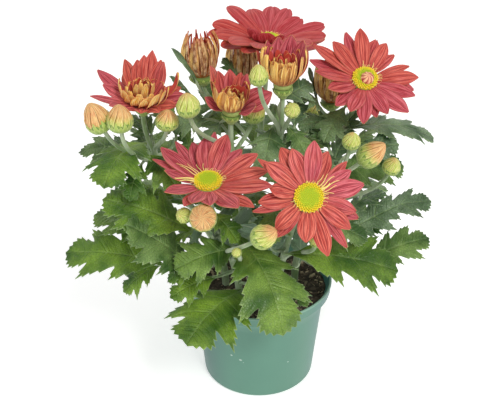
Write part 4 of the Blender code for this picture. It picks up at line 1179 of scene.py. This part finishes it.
def florets(name, centre, aim, disc):
    """The dome, its florets on a spiral of equal areas, each a small turned bud, and the curled styles."""
    batch = Batch()
    shares = np.linspace(1, 0.06, 9)
    foot = [(1.0, 0.0), (disc * 0.97, 0.0)]
    dome = [(disc * s * 0.97, disc_height(s) - 0.25) for s in shares]
    batch.rings(place(lathe(foot + dome, 36), centre, aim), 0, ripe=0.4)
    k = np.arange(FLORET_COUNT)
    share = np.sqrt((k + 0.5) / FLORET_COUNT)
    turn = GOLDEN_TURN * k
    size = 1 + 0.25 * share + 0.1 * sway(1, k)
    tall = 0.8 + 1.1 * np.clip((share - 0.55) / 0.45, 0, 1) + 0.15 * sway(2, k)
    angle = 2 * np.pi * np.arange(6) / 6
    lean = 0.5 * share ** 3
    radius = FLORET_ROWS[None, :, 0] * size[:, None]
    height = FLORET_ROWS[None, :, 1] * tall[:, None]
    x = radius[..., None] * np.cos(angle)
    y = radius[..., None] * np.sin(angle)
    z = np.broadcast_to(height[..., None], x.shape)
    far = (share * disc * 0.94)[:, None, None] + x + z * lean[:, None, None]
    high = disc_height(share)[:, None, None] - 0.2 + z - x * lean[:, None, None]
    c, d = np.cos(turn)[:, None, None], np.sin(turn)[:, None, None]
    grid = np.stack([far * c - y * d, far * d + y * c, high], -1)
    ripe = np.clip((share - 0.45) / 0.5 + 0.15 * sway(3, k), 0, 1)
    batch.rings(place(grid, centre, aim), 0, ripe=ripe[:, None, None])
    styles(batch, name, centre, aim, disc)
    if name + "_disc" in KNOBS:
        knob(batch, centre, aim, *KNOBS[name + "_disc"])
    piece = batch.build(name + "_florets", [floret_green(), knob_pink()], sharp=180)
    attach(piece, "root")
    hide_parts(name + "_disc")


# Long pale threads and narrow curled petals at the rim of a disc: turn in degrees, length, half thickness
THREADS = {
    "bloom_front_left": (
        (150, 14, 0.4), (141, 18, 0.35), (131, 12, 0.3), (118, 8, 0.3), (176, 13, 0.8), (188, 10, 0.7),
        (106, 7, 0.3),
    ),
    "bloom_front_right": (
        (62, 8, 0.3), (50, 10, 0.35), (40, 12, 0.4), (30, 13, 0.35), (22, 10, 0.3), (35, 7, 0.8),
        (14, 7, 0.3),
    ),
    "bloom_right": ((100, 5, 0.3), (60, 5, 0.3)),
    "bloom_back": ((120, 4, 0.3),),
}


def styles(batch, name, centre, aim, disc):
    """Thin pale curled styles at the rim, half of them on its far right side, and the longer threads.
    Each path leaves the rim outwards, rises by t (1 - 0.35 t) and swings aside by a sine."""
    threads = vec(THREADS[name])
    k = np.arange(STYLE_COUNT + len(threads))
    turn = np.where(k < FAR_STYLES, 0.9 + 0.9 * sway(11, k), 2 * np.pi * k / STYLE_COUNT)
    turn[STYLE_COUNT:] = np.radians(threads[:, 0])
    t = np.linspace(0, 1, 9)[None]
    length = (2.4 + 1.1 * sway(12, k))[:, None]
    length[STYLE_COUNT:] = threads[:, 1:2]
    out = disc * 0.93 + length * t * 0.9
    high = 1.6 + 1.6 * t * (1 - 0.35 * t) * (1 + 0.3 * sway(13, k))[:, None] * np.maximum(1, length / 6)
    swing = 0.9 * np.sin(3.2 * t + 6 * sway(14, k)[:, None]) * t * np.maximum(1, length / 7)
    c, d = np.cos(turn)[:, None], np.sin(turn)[:, None]
    path = np.stack([out * c - swing * d, out * d + swing * c, high], -1)
    angle = 2 * np.pi * np.arange(4) / 4
    half = np.append(np.full(STYLE_COUNT, STYLE_HALF), threads[:, 2])
    thick = half[:, None, None] * (1 - 0.5 * t)[..., None]
    side = np.stack([-d, c, 0 * c], -1)[:, :, None] * np.cos(angle)[:, None]
    rise = vec((0, 0, 1)) * np.sin(angle)[:, None]
    grid = path[:, :, None] + thick[..., None] * (side + rise)
    batch.rings(place(grid, centre, aim), 0, ripe=1.6)


def knob(batch, centre, aim, spot, radius):
    """The closed knob: a ball of eight folded petals, rippled by a cosine and twisted with its height."""
    t = np.linspace(0, 1, 22)[:, None]
    turn = 2 * np.pi * np.arange(56)[None] / 56
    rows = np.interp(t, (0, 0.12, 0.3, 0.55, 0.8, 0.93, 1), (0.8, 0.9, 1.0, 0.96, 0.66, 0.34, 0.04))
    fold = np.cos(KNOB_PETALS * turn)
    reach = radius * rows * (1 + 0.045 * fold * np.sin(np.pi * t))
    angle = turn + 0.7 * t ** 2
    x, y = spot[0] + reach * np.cos(angle), spot[1] + reach * np.sin(angle)
    grid = np.stack(np.broadcast_arrays(x, y, 1.0 + (radius * 1.62) * t), -1)
    batch.rings(place(grid[None], centre, aim), 1, fold=fold[None])


def knob_pink():
    """Pink and orange folded petals with pale edges, and dark folds that are painted shade."""
    skin = Finish("knob", Specular_IOR_Level=0.3)
    grain = skin.noise(skin.place((1.0, 1.0, 0.4)), 420.0, 4.0, 0.7)
    colour = skin.mix(paint(206, 96, 92), paint(244, 186, 140), grain.between(0.35, 0.65))
    colour = skin.mix(colour, paint(250, 222, 160), skin.value("fold").between(0.5, 1.0) * 0.7)
    # Painted shade: dark red in the folds, where the ripple sinks the knob.
    colour = skin.mix(colour, paint(150, 46, 44), (0 - skin.value("fold")).between(0.4, 1.0) * 0.8)
    skin.feed(Base_Color=colour, Roughness=0.5)
    skin.bump(grain, 0.0003, 0.5)
    return skin


def floret_green():
    """Lime green shut florets that ripen to yellow; the styles are paler still."""
    skin = Finish("florets", Specular_IOR_Level=0.3, Subsurface_Weight=0.1, Subsurface_Scale=0.0006)
    ripe = skin.value("ripe")
    grain = skin.noise(skin.place(), 1100.0, 2.0)
    colour = skin.mix(paint(184, 206, 42), paint(246, 218, 52), ripe.between(0.1, 0.95))
    colour = skin.mix(colour, paint(250, 226, 140), ripe.between(1.1, 1.6))
    colour = skin.mix(colour, paint(126, 150, 30), grain.between(0.5, 0.85) * 0.35)
    skin.feed(Base_Color=colour, Roughness=0.55)
    skin.bump(grain, 0.0002, 0.5)
    return skin


for bloom_name, (_, centre, aim, _, disc, *_) in OPEN_BLOOMS.items():
    florets(bloom_name, centre, aim, disc)

# The half-open blooms
# Outer petals that have spread, round a heart of petals that still stand and curve in, so that their
# golden backs show. The faces of the petals are red like those of the open blooms.

# Petals of the spread ring, the fan and the golden bowl: turn in degrees, share of the length, share of the
# half width
RINGS = {
    "bloom_left": (
        (
            (2, 0.85, 1.1), (153, 1.2, 0.95), (170, 0.84, 1.0), (206, 1.14, 0.65), (224, 0.84, 1.0),
            (240, 0.62, 0.9), (268, 0.55, 1.0), (300, 0.6, 0.9), (334, 0.7, 1.0), (30, 0.8, 0.9),
            (124, 0.9, 1.0),
        ),
        (
            (44, 0.93, 1.05), (76, 1.1, 0.95), (92, 0.97, 1.05), (108, 0.87, 1.1), (138, 0.94, 1.2),
            (60, 0.94, 0.9),
        ),
        (
            (176, 1.12, 0.6), (196, 1.0, 0.8), (218, 0.9, 0.9), (240, 0.8, 1.0), (262, 0.84, 1.0),
            (285, 0.82, 1.0), (306, 1.0, 1.05), (328, 1.05, 0.9), (350, 1.1, 0.7), (14, 1.7, 0.42),
        ),
    ),
    "bloom_middle": (
        ((6, 1.0, 1.45), (30, 0.86, 1.1), (338, 0.6, 1.0), (182, 0.62, 0.9)),
        (
            (38, 0.94, 1.0), (94, 0.96, 1.05), (130, 0.98, 1.0), (156, 1.22, 1.6), (192, 1.0, 1.1),
            (66, 0.9, 0.9),
        ),
        (
            (40, 1.2, 0.45), (18, 1.15, 0.5), (164, 1.3, 0.9), (184, 1.35, 0.7), (202, 1.25, 1.0),
            (222, 1.1, 0.8), (240, 1.3, 1.05), (262, 1.1, 0.9), (282, 0.86, 0.8), (304, 0.74, 0.9),
            (330, 0.8, 0.7),
        ),
    ),
    "bloom_top": (
        ((29, 0.9, 0.9), (152, 0.93, 0.7)),
        (
            (36, 1.1, 1.05), (74, 1.14, 1.25), (106, 1.08, 1.25), (140, 1.06, 1.1), (165, 1.0, 0.9),
            (10, 1.06, 1.0),
        ),
        (
            (22, 1.0, 1.0), (44, 0.92, 0.8), (134, 0.95, 0.9), (157, 1.04, 0.9), (178, 1.1, 0.85),
            (194, 0.94, 0.8), (210, 1.0, 0.9), (226, 0.72, 0.9), (240, 0.86, 0.85), (254, 0.66, 0.9),
            (266, 0.84, 0.8), (280, 0.7, 0.95), (294, 0.9, 0.8), (308, 0.74, 0.9), (324, 0.98, 0.8),
            (342, 0.9, 0.9), (358, 1.08, 0.85),
        ),
    ),
}


def petal_gold():
    """Standing petals: golden backs with brown and orange streaks and yellow edges, red faces and tips."""
    skin = Finish("petal_gold", Specular_IOR_Level=0.25, Sheen_Weight=0.15)
    skin.feed(Subsurface_Weight=0.08, Subsurface_Scale=0.0008, Subsurface_Radius=(1.0, 0.5, 0.2))
    along, across, tint = skin.value("along"), skin.value("across"), skin.value("tint")
    weave = skin.node("CombineXYZ", None, {"X": across * 5.0, "Y": along * 1.2, "Z": tint * 9.0})
    veins = skin.noise(weave, 1.7, 4.0, 0.65)
    gold = skin.mix(paint(238, 168, 42), paint(255, 238, 156), veins.between(0.35, 0.68))
    brown = skin.mix(paint(136, 66, 30), paint(200, 118, 50), veins)
    middle = 1 - abs(across).between(0.25, 0.8)
    back = skin.mix(gold, brown, middle * (0.55 + 0.45 * tint) * skin.value("brown"))
    back = skin.mix(back, paint(168, 70, 38), (1 - along).between(0.30, 0.95) * skin.value("brown") * 0.85)
    fleck = skin.noise(skin.place((1.0, 1.0, 0.5)), 330.0, 3.0, 0.7)
    flecked = (fleck + 0.5 * (veins - 0.5)).between(0.36, 0.62)
    tan = skin.mix(paint(128, 74, 54), paint(240, 214, 168), flecked)
    back = skin.mix(back, tan, skin.value("faded") * (0.6 + 0.4 * tint))
    back = skin.mix(back, paint(112, 52, 36), (1 - fleck).between(0.5, 0.72) * skin.value("brown") * 0.6)
    back = skin.mix(back, paint(188, 58, 52), along.between(0.80, 0.97) * skin.value("red_tip"))
    face = skin.mix(paint(188, 48, 44), paint(216, 92, 70), veins)
    colour = skin.mix(face, back, skin.value("under"))
    skin.feed(Base_Color=colour, Roughness=0.5)
    skin.bump(veins, 0.00035, 0.6)
    return skin


heart_finish = petal_gold()

# The golden bowl: root, height of the root, lifts, share of the petal length, half width, brownness
BOWLS = {
    "bloom_left": (5.6, 0.2, (0, 104), 0.60, 5.3, 0.12),
    "bloom_middle": (4.2, -0.6, (34, 104), 0.66, 3.9, 0.8),
    "bloom_top": (3.8, -1.6, (32, 106), 1.0, 2.1, 0.85),
}
# The inner rings of a heart: seed of the ring and of its rows, petals, root, height of the root, lifts,
# share of the short petals' length, half width, curl
INNER_RINGS = (
    (9, 1, 7, 3.4, 1.4, (48, 112), 0.8, 2.4, 1.0),
    (2, 2, 5, 2.0, 2.4, (72, 104), 0.7, 1.8, 0.9),
)


def cupped_bloom(name, centre, aim, length, spread, fan, heart_share):
    """Two pieces: the spread petals and the fan at the back on their plate, and the heart, which is a core
    inside the golden bowl, a ring that follows the bowl a little steeper, and two inner rings."""
    seed = len(name)
    batch = Batch()
    plate = [(1.0, -3.8), (5.2, -3.8), (6.0, -2.8), (6.1, -1.0), (5.6, -0.35), (1.0, -0.35)]
    batch.rings(place(lathe(plate, 24), centre, aim), 1)
    flat, back, bowl = RINGS[name]
    layers = (
        petal_ring(seed, flat, 4.8, -1.9, spread, length, 4.9, tuck=0.06, nod=0.34),
        petal_ring(seed + 3, back, 4.6, -1.3, fan, length, 5.0),
    )
    for grid, values in layers:
        batch.sheets(place(grid, centre, aim), PETAL_THICKNESS, 0, **values)
    petals = batch.build(name + "_rays", bloom_finishes)
    heart = Batch()
    core = [(1.0, 0.0), (4.2, 0.0), (4.4, 1.2), (3.9, 2.6), (2.4, 3.9), (0.8, 4.5)]
    heart.rings(place(lathe(core, 20), centre, aim), 0, under=1.0, along=0.3, across=0.6, tint=0.0)
    short = length * heart_share
    root, low, steep, share, half, brown = BOWLS[name]
    steeper, next_rows = (steep[0] + 8, steep[1]), all_round(seed, 11, 0.0)
    outline = HEART_OUTLINE
    rings = [
        petal_ring(seed + 7, bowl, root, low, steep, length * share, half, outline, 1.2),
        petal_ring(seed + 8, next_rows, root - 0.6, 0.4, steeper, short * 0.9, 2.8, outline, 1.2),
    ]
    for own, row_seed, count, root, low, lifts, share, half, curl in INNER_RINGS:
        rows = all_round(seed + row_seed, count, 0.3)
        rings.append(petal_ring(seed + own, rows, root, low, lifts, short * share, half, outline, curl))
    look = {"brown": brown, "red_tip": 0.0, "faded": 0.0}
    for grid, values in rings:
        heart.sheets(place(grid, centre, aim), PETAL_THICKNESS, 0, **look, **values)
    inner = heart.build(name + "_centre", [heart_finish])
    for piece, node, slot in ((petals, "_petals", "petal_red"), (inner, "_heart", "petal_gold")):
        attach(piece, "root")
        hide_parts(name + node)


for bloom_name, (_, *bloom_row) in CUPPED_BLOOMS.items():
    cupped_bloom(bloom_name, *bloom_row)

# The brush heads
# Heads a day or two short of opening: narrow petals stand close together like the hairs of a brush, brown
# and gold on the back with yellow edges, the first red tips showing.

# Rings that leave the base: count, phase, height, lifts, share of the length, half width
BRUSH_RINGS = (
    (13, 0.0, 0.6, (28, 128), 0.92, 1.5), (17, 0.3, 1.0, (34, 126), 1.12, 1.35),
    (17, 0.7, 1.6, (42, 120), 1.18, 1.25), (15, 0.1, 2.2, (52, 116), 1.1, 1.2),
)
# Rings higher up: count, phase, share of the radius, lifts, share of the length, half width
BRUSH_TOP = (
    (9, 0.1, 0.6, (70, 128), 0.62, 1.3), (8, 0.5, 0.42, (80, 124), 0.6, 1.2),
    (5, 0.3, 0.3, (86, 104), 0.6, 1.4),
)
# How far a head has faded to tan
FADED = {"brush_left": 0.75, "brush_back": 1.0, "brush_right": 0.6}


def brush_head(name, centre, aim, length, radius):
    """A slim core with rings of narrow standing petals from its base and shorter ones from higher up."""
    batch = Batch()
    core = [
        (1.0, 0), (radius * 0.5, 0), (radius * 0.78, length * 0.2), (radius * 0.76, length * 0.48),
        (radius * 0.5, length * 0.68), (0.8, length * 0.76),
    ]
    inside = {"under": 1.0, "along": 0.4, "across": 0.2, "tint": 0.3, "brown": 1.0}
    batch.rings(place(lathe(core, 24), centre, aim), 0, **inside)
    seed, root, outline = len(name), radius * 0.42, BRUSH_OUTLINE
    rings = []
    for n, (count, phase, start, lifts, tall, half) in enumerate(BRUSH_RINGS):
        rows = all_round(3 * seed + n, count, phase)
        rows[:, 0] += 7 * scatter(n, np.arange(count))
        rows[:, 1] += 0.14 * scatter(n + 4, np.arange(count))
        rings.append(petal_ring(seed + n, rows, root, start, lifts, length * tall, half, outline, 0.7))
    start = length * 0.42
    for n, (count, phase, share, lifts, tall, half) in enumerate(BRUSH_TOP):
        rows = all_round(seed + 5 * n, count, phase)
        rows[:, 1] += 0.2 * scatter(n, np.arange(count))
        root = radius * share
        rings.append(petal_ring(seed + 9 + n, rows, root, start, lifts, length * tall, half, outline, 0.6))
    look = {"brown": 1.0, "red_tip": 0.5, "faded": FADED[name]}
    for grid, values in rings:
        batch.sheets(place(grid, centre, aim), PETAL_THICKNESS, 0, **look, **values)
    piece = batch.build(name + "_petals", [heart_finish])
    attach(piece, "root")
    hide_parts(name)


for head_name, (_, *head_row) in BRUSH_HEADS.items():
    brush_head(head_name, *head_row)

# The buds
# Closed buds: petals folded over one another in a slight twist, yellow green where they leave the cup and
# striped pink, orange and tan towards the tip, with a thin dark line of painted shade along each fold.
BUD_PETALS = 9
# The skin starts inside the cup, at this share of a bud's height
BUD_START = 0.30
# A bud petal's columns from its tucked edge, and its twist from base to tip in radians
BUD_COLUMNS = 7
BUD_TWIST = 0.55
# How far each bud has turned from yellow green to pink: 0 to 1
RIPENESS = {
    "bud_far_left": 1.0, "bud_left": 0.9, "bud_left_inner": 0.55, "bud_middle_left": 0.45,
    "bud_middle_right": 0.55, "bud_top": 0.25, "bud_top_low": 0.0, "bud_right_upper": 0.15,
    "bud_right": 0.9, "bud_right_lower": 0.15, "bud_front_left": 1.0, "bud_front_left_small": 0.0,
    "bud_front": 0.65, "bud_front_right": 0.1, "bud_front_small": 0.0, "bud_rear": 0.6,
    "bud_rear_left": 0.5,
}


def bud_skin():
    """Petals that change from yellow green to pinkish tan along the bud, with streaks, and dark folds that
    are painted shade.
    """
    skin = Finish("bud", Specular_IOR_Level=0.3, Subsurface_Weight=0.1, Subsurface_Scale=0.001)
    along, across, tint = skin.value("along"), skin.value("across"), skin.value("tint")
    weave = skin.node("CombineXYZ", None, {"X": across * 7.0, "Y": along * 2.2, "Z": tint * 9.0})
    streak = skin.noise(weave, 1.9, 4.0, 0.7)
    cloud = skin.noise(skin.place(), 260.0, 3.0)
    green = skin.mix(paint(158, 176, 44), paint(238, 236, 160), streak.between(0.35, 0.7))
    pink = skin.mix(paint(188, 112, 52), paint(242, 206, 142), streak.between(0.32, 0.66))
    pink = skin.mix(pink, paint(206, 108, 78), cloud.between(0.45, 0.75) * 0.4)
    turned = (along + 0.3 * (streak - 0.5) + 0.75 * skin.value("ripe") + 0.2 * tint).between(0.95, 1.35)
    colour = skin.mix(green, pink, turned)
    line = (1 - streak).between(0.58, 0.72) * along.between(0.4, 0.6) * skin.value("ripe")
    colour = skin.mix(colour, paint(128, 60, 30), line * 0.85)
    # Painted shade: dark brown at each petal's tucked edge, under the overlapping edge of the next.
    fold = 1 - across.between(0.0, 0.14)
    colour = skin.mix(colour, paint(112, 62, 30), fold * along.between(0.3, 0.55) * 0.9)
    colour = skin.mix(colour, paint(250, 232, 168), across.between(0.84, 1.0) * 0.6)
    skin.feed(Base_Color=colour, Roughness=0.46)
    skin.bump(streak, 0.0004, 0.6)
    return skin


bud_finish = bud_skin()


def closed_bud(name, index, centre, aim, length, radius):
    """A skin whose columns follow the folded petals: the angle shears with height, and each petal's radius
    rises from its tucked edge to its free edge like a saw tooth."""
    shares = 1 - (1 - np.linspace(0.0, 1, 20)) ** 1.3
    shares = BUD_START + (1 - BUD_START) * shares
    teeth = np.linspace(0, 1, BUD_COLUMNS)
    across = np.tile(teeth, BUD_PETALS)
    number = np.repeat(np.arange(BUD_PETALS), BUD_COLUMNS)
    angle = 2 * np.pi * (number + np.tile(np.append(teeth[:-1], 0.97), BUD_PETALS)) / BUD_PETALS
    saw = 0.10 * (across - 0.5)[None] * np.clip((shares - BUD_START) * 4, 0, 1)[:, None]
    reach = radius * np.maximum(bud_outline(np.minimum(shares, 0.997)), 0.03)[:, None] * (1 + saw)
    turn = angle[None] + BUD_TWIST * (shares ** 2)[:, None] + 0.1 * index
    high = np.broadcast_to((length * shares)[:, None], reach.shape)
    grid = np.stack([reach * np.cos(turn), reach * np.sin(turn), high], -1)[None]
    batch = Batch()
    batch.rings(
        place(grid, centre, aim), 0, along=shares[None, :, None], across=across[None, None],
        tint=0.6 * sway(index, number)[None, None], ripe=RIPENESS[name],
    )
    piece = batch.build("closed_" + name, [bud_finish], sharp=60)
    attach(piece, "root")
    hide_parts(name)


for index, (bud_name, (_, *bud_row)) in enumerate(BUDS.items()):
    closed_bud(bud_name, index, *bud_row)

# The stage
# A plain pale floor, a broad soft light above the camera's right shoulder, two weaker ones that open the
# shadows, and a camera at the height from which the plant was seen.
CAMERA_PLACE = (-0.0065, -0.4816, 0.4036)
CAMERA_TILT = 90 - 28.7
CAMERA_LENS = 57.6
CAMERA_SENSOR = 36.0
WORLD_LIGHT = 0.5
FLOOR_HALF = 6
FLOOR_LEVEL = -0.0003
# The height that the lamps point at
LAMP_AIM = 0.13
# Lamps: name, place, size, power, colour
LAMPS = (
    ("key", (0.50, -1.0, 1.20), 0.45, 12.5, (1.0, 0.985, 0.965)),
    ("fill", (-1.0, -0.55, 0.75), 0.9, 3.0, (0.95, 0.975, 1.0)),
    ("back", (-0.1, 1.1, 1.0), 0.9, 3.0, (1.0, 1.0, 1.0)),
)


def stage():
    """Floor, lamps, world light and camera."""
    mesh = bpy.data.meshes.new("floor")
    signs = ((-1, -1), (1, -1), (1, 1), (-1, 1))
    corners = [(FLOOR_HALF * a, FLOOR_HALF * b, FLOOR_LEVEL) for a, b in signs]
    mesh.from_pydata(corners, [], [(0, 1, 2, 3)])
    floor = bpy.data.objects.new("floor", mesh)
    bpy.context.scene.collection.objects.link(floor)
    skin = Finish("floor", Roughness=0.8, Specular_IOR_Level=0.1)
    shade = skin.noise(skin.place(), 3.0, 2.0)
    skin.feed(Base_Color=skin.mix(paint(243, 243, 242), paint(247, 247, 246), shade))
    skin.feed(Emission_Color=paint(255, 255, 255), Emission_Strength=0.4)
    mesh.materials.append(skin.material)
    for name, spot, size, power, colour in LAMPS:
        light = bpy.data.lights.new(name, "AREA")
        light.shape, light.size, light.energy, light.color = "DISK", size, power, colour
        lamp = bpy.data.objects.new(name, light)
        bpy.context.scene.collection.objects.link(lamp)
        lamp.location = spot
        x, y, z = vec((0, 0, LAMP_AIM)) - vec(spot)
        lamp.rotation_euler = (math.atan2(math.hypot(x, y), -z), 0, math.atan2(-x, y))
    world = bpy.data.worlds.new("studio")
    world.use_nodes = True
    sky = world.node_tree.nodes["Background"]
    sky.inputs["Color"].default_value = (1.0, 1.0, 1.0, 1.0)
    sky.inputs["Strength"].default_value = WORLD_LIGHT
    bpy.context.scene.world = world
    lens = bpy.data.cameras.new("camera")
    lens.lens, lens.sensor_width, lens.sensor_fit = CAMERA_LENS, CAMERA_SENSOR, "HORIZONTAL"
    lens.clip_start = 0.01
    camera = bpy.data.objects.new("camera", lens)
    bpy.context.scene.collection.objects.link(camera)
    camera.location = CAMERA_PLACE
    camera.rotation_euler = (math.radians(CAMERA_TILT), 0, 0)
    bpy.context.scene.camera = camera
    bpy.context.scene.view_settings.view_transform = "Standard"


stage()
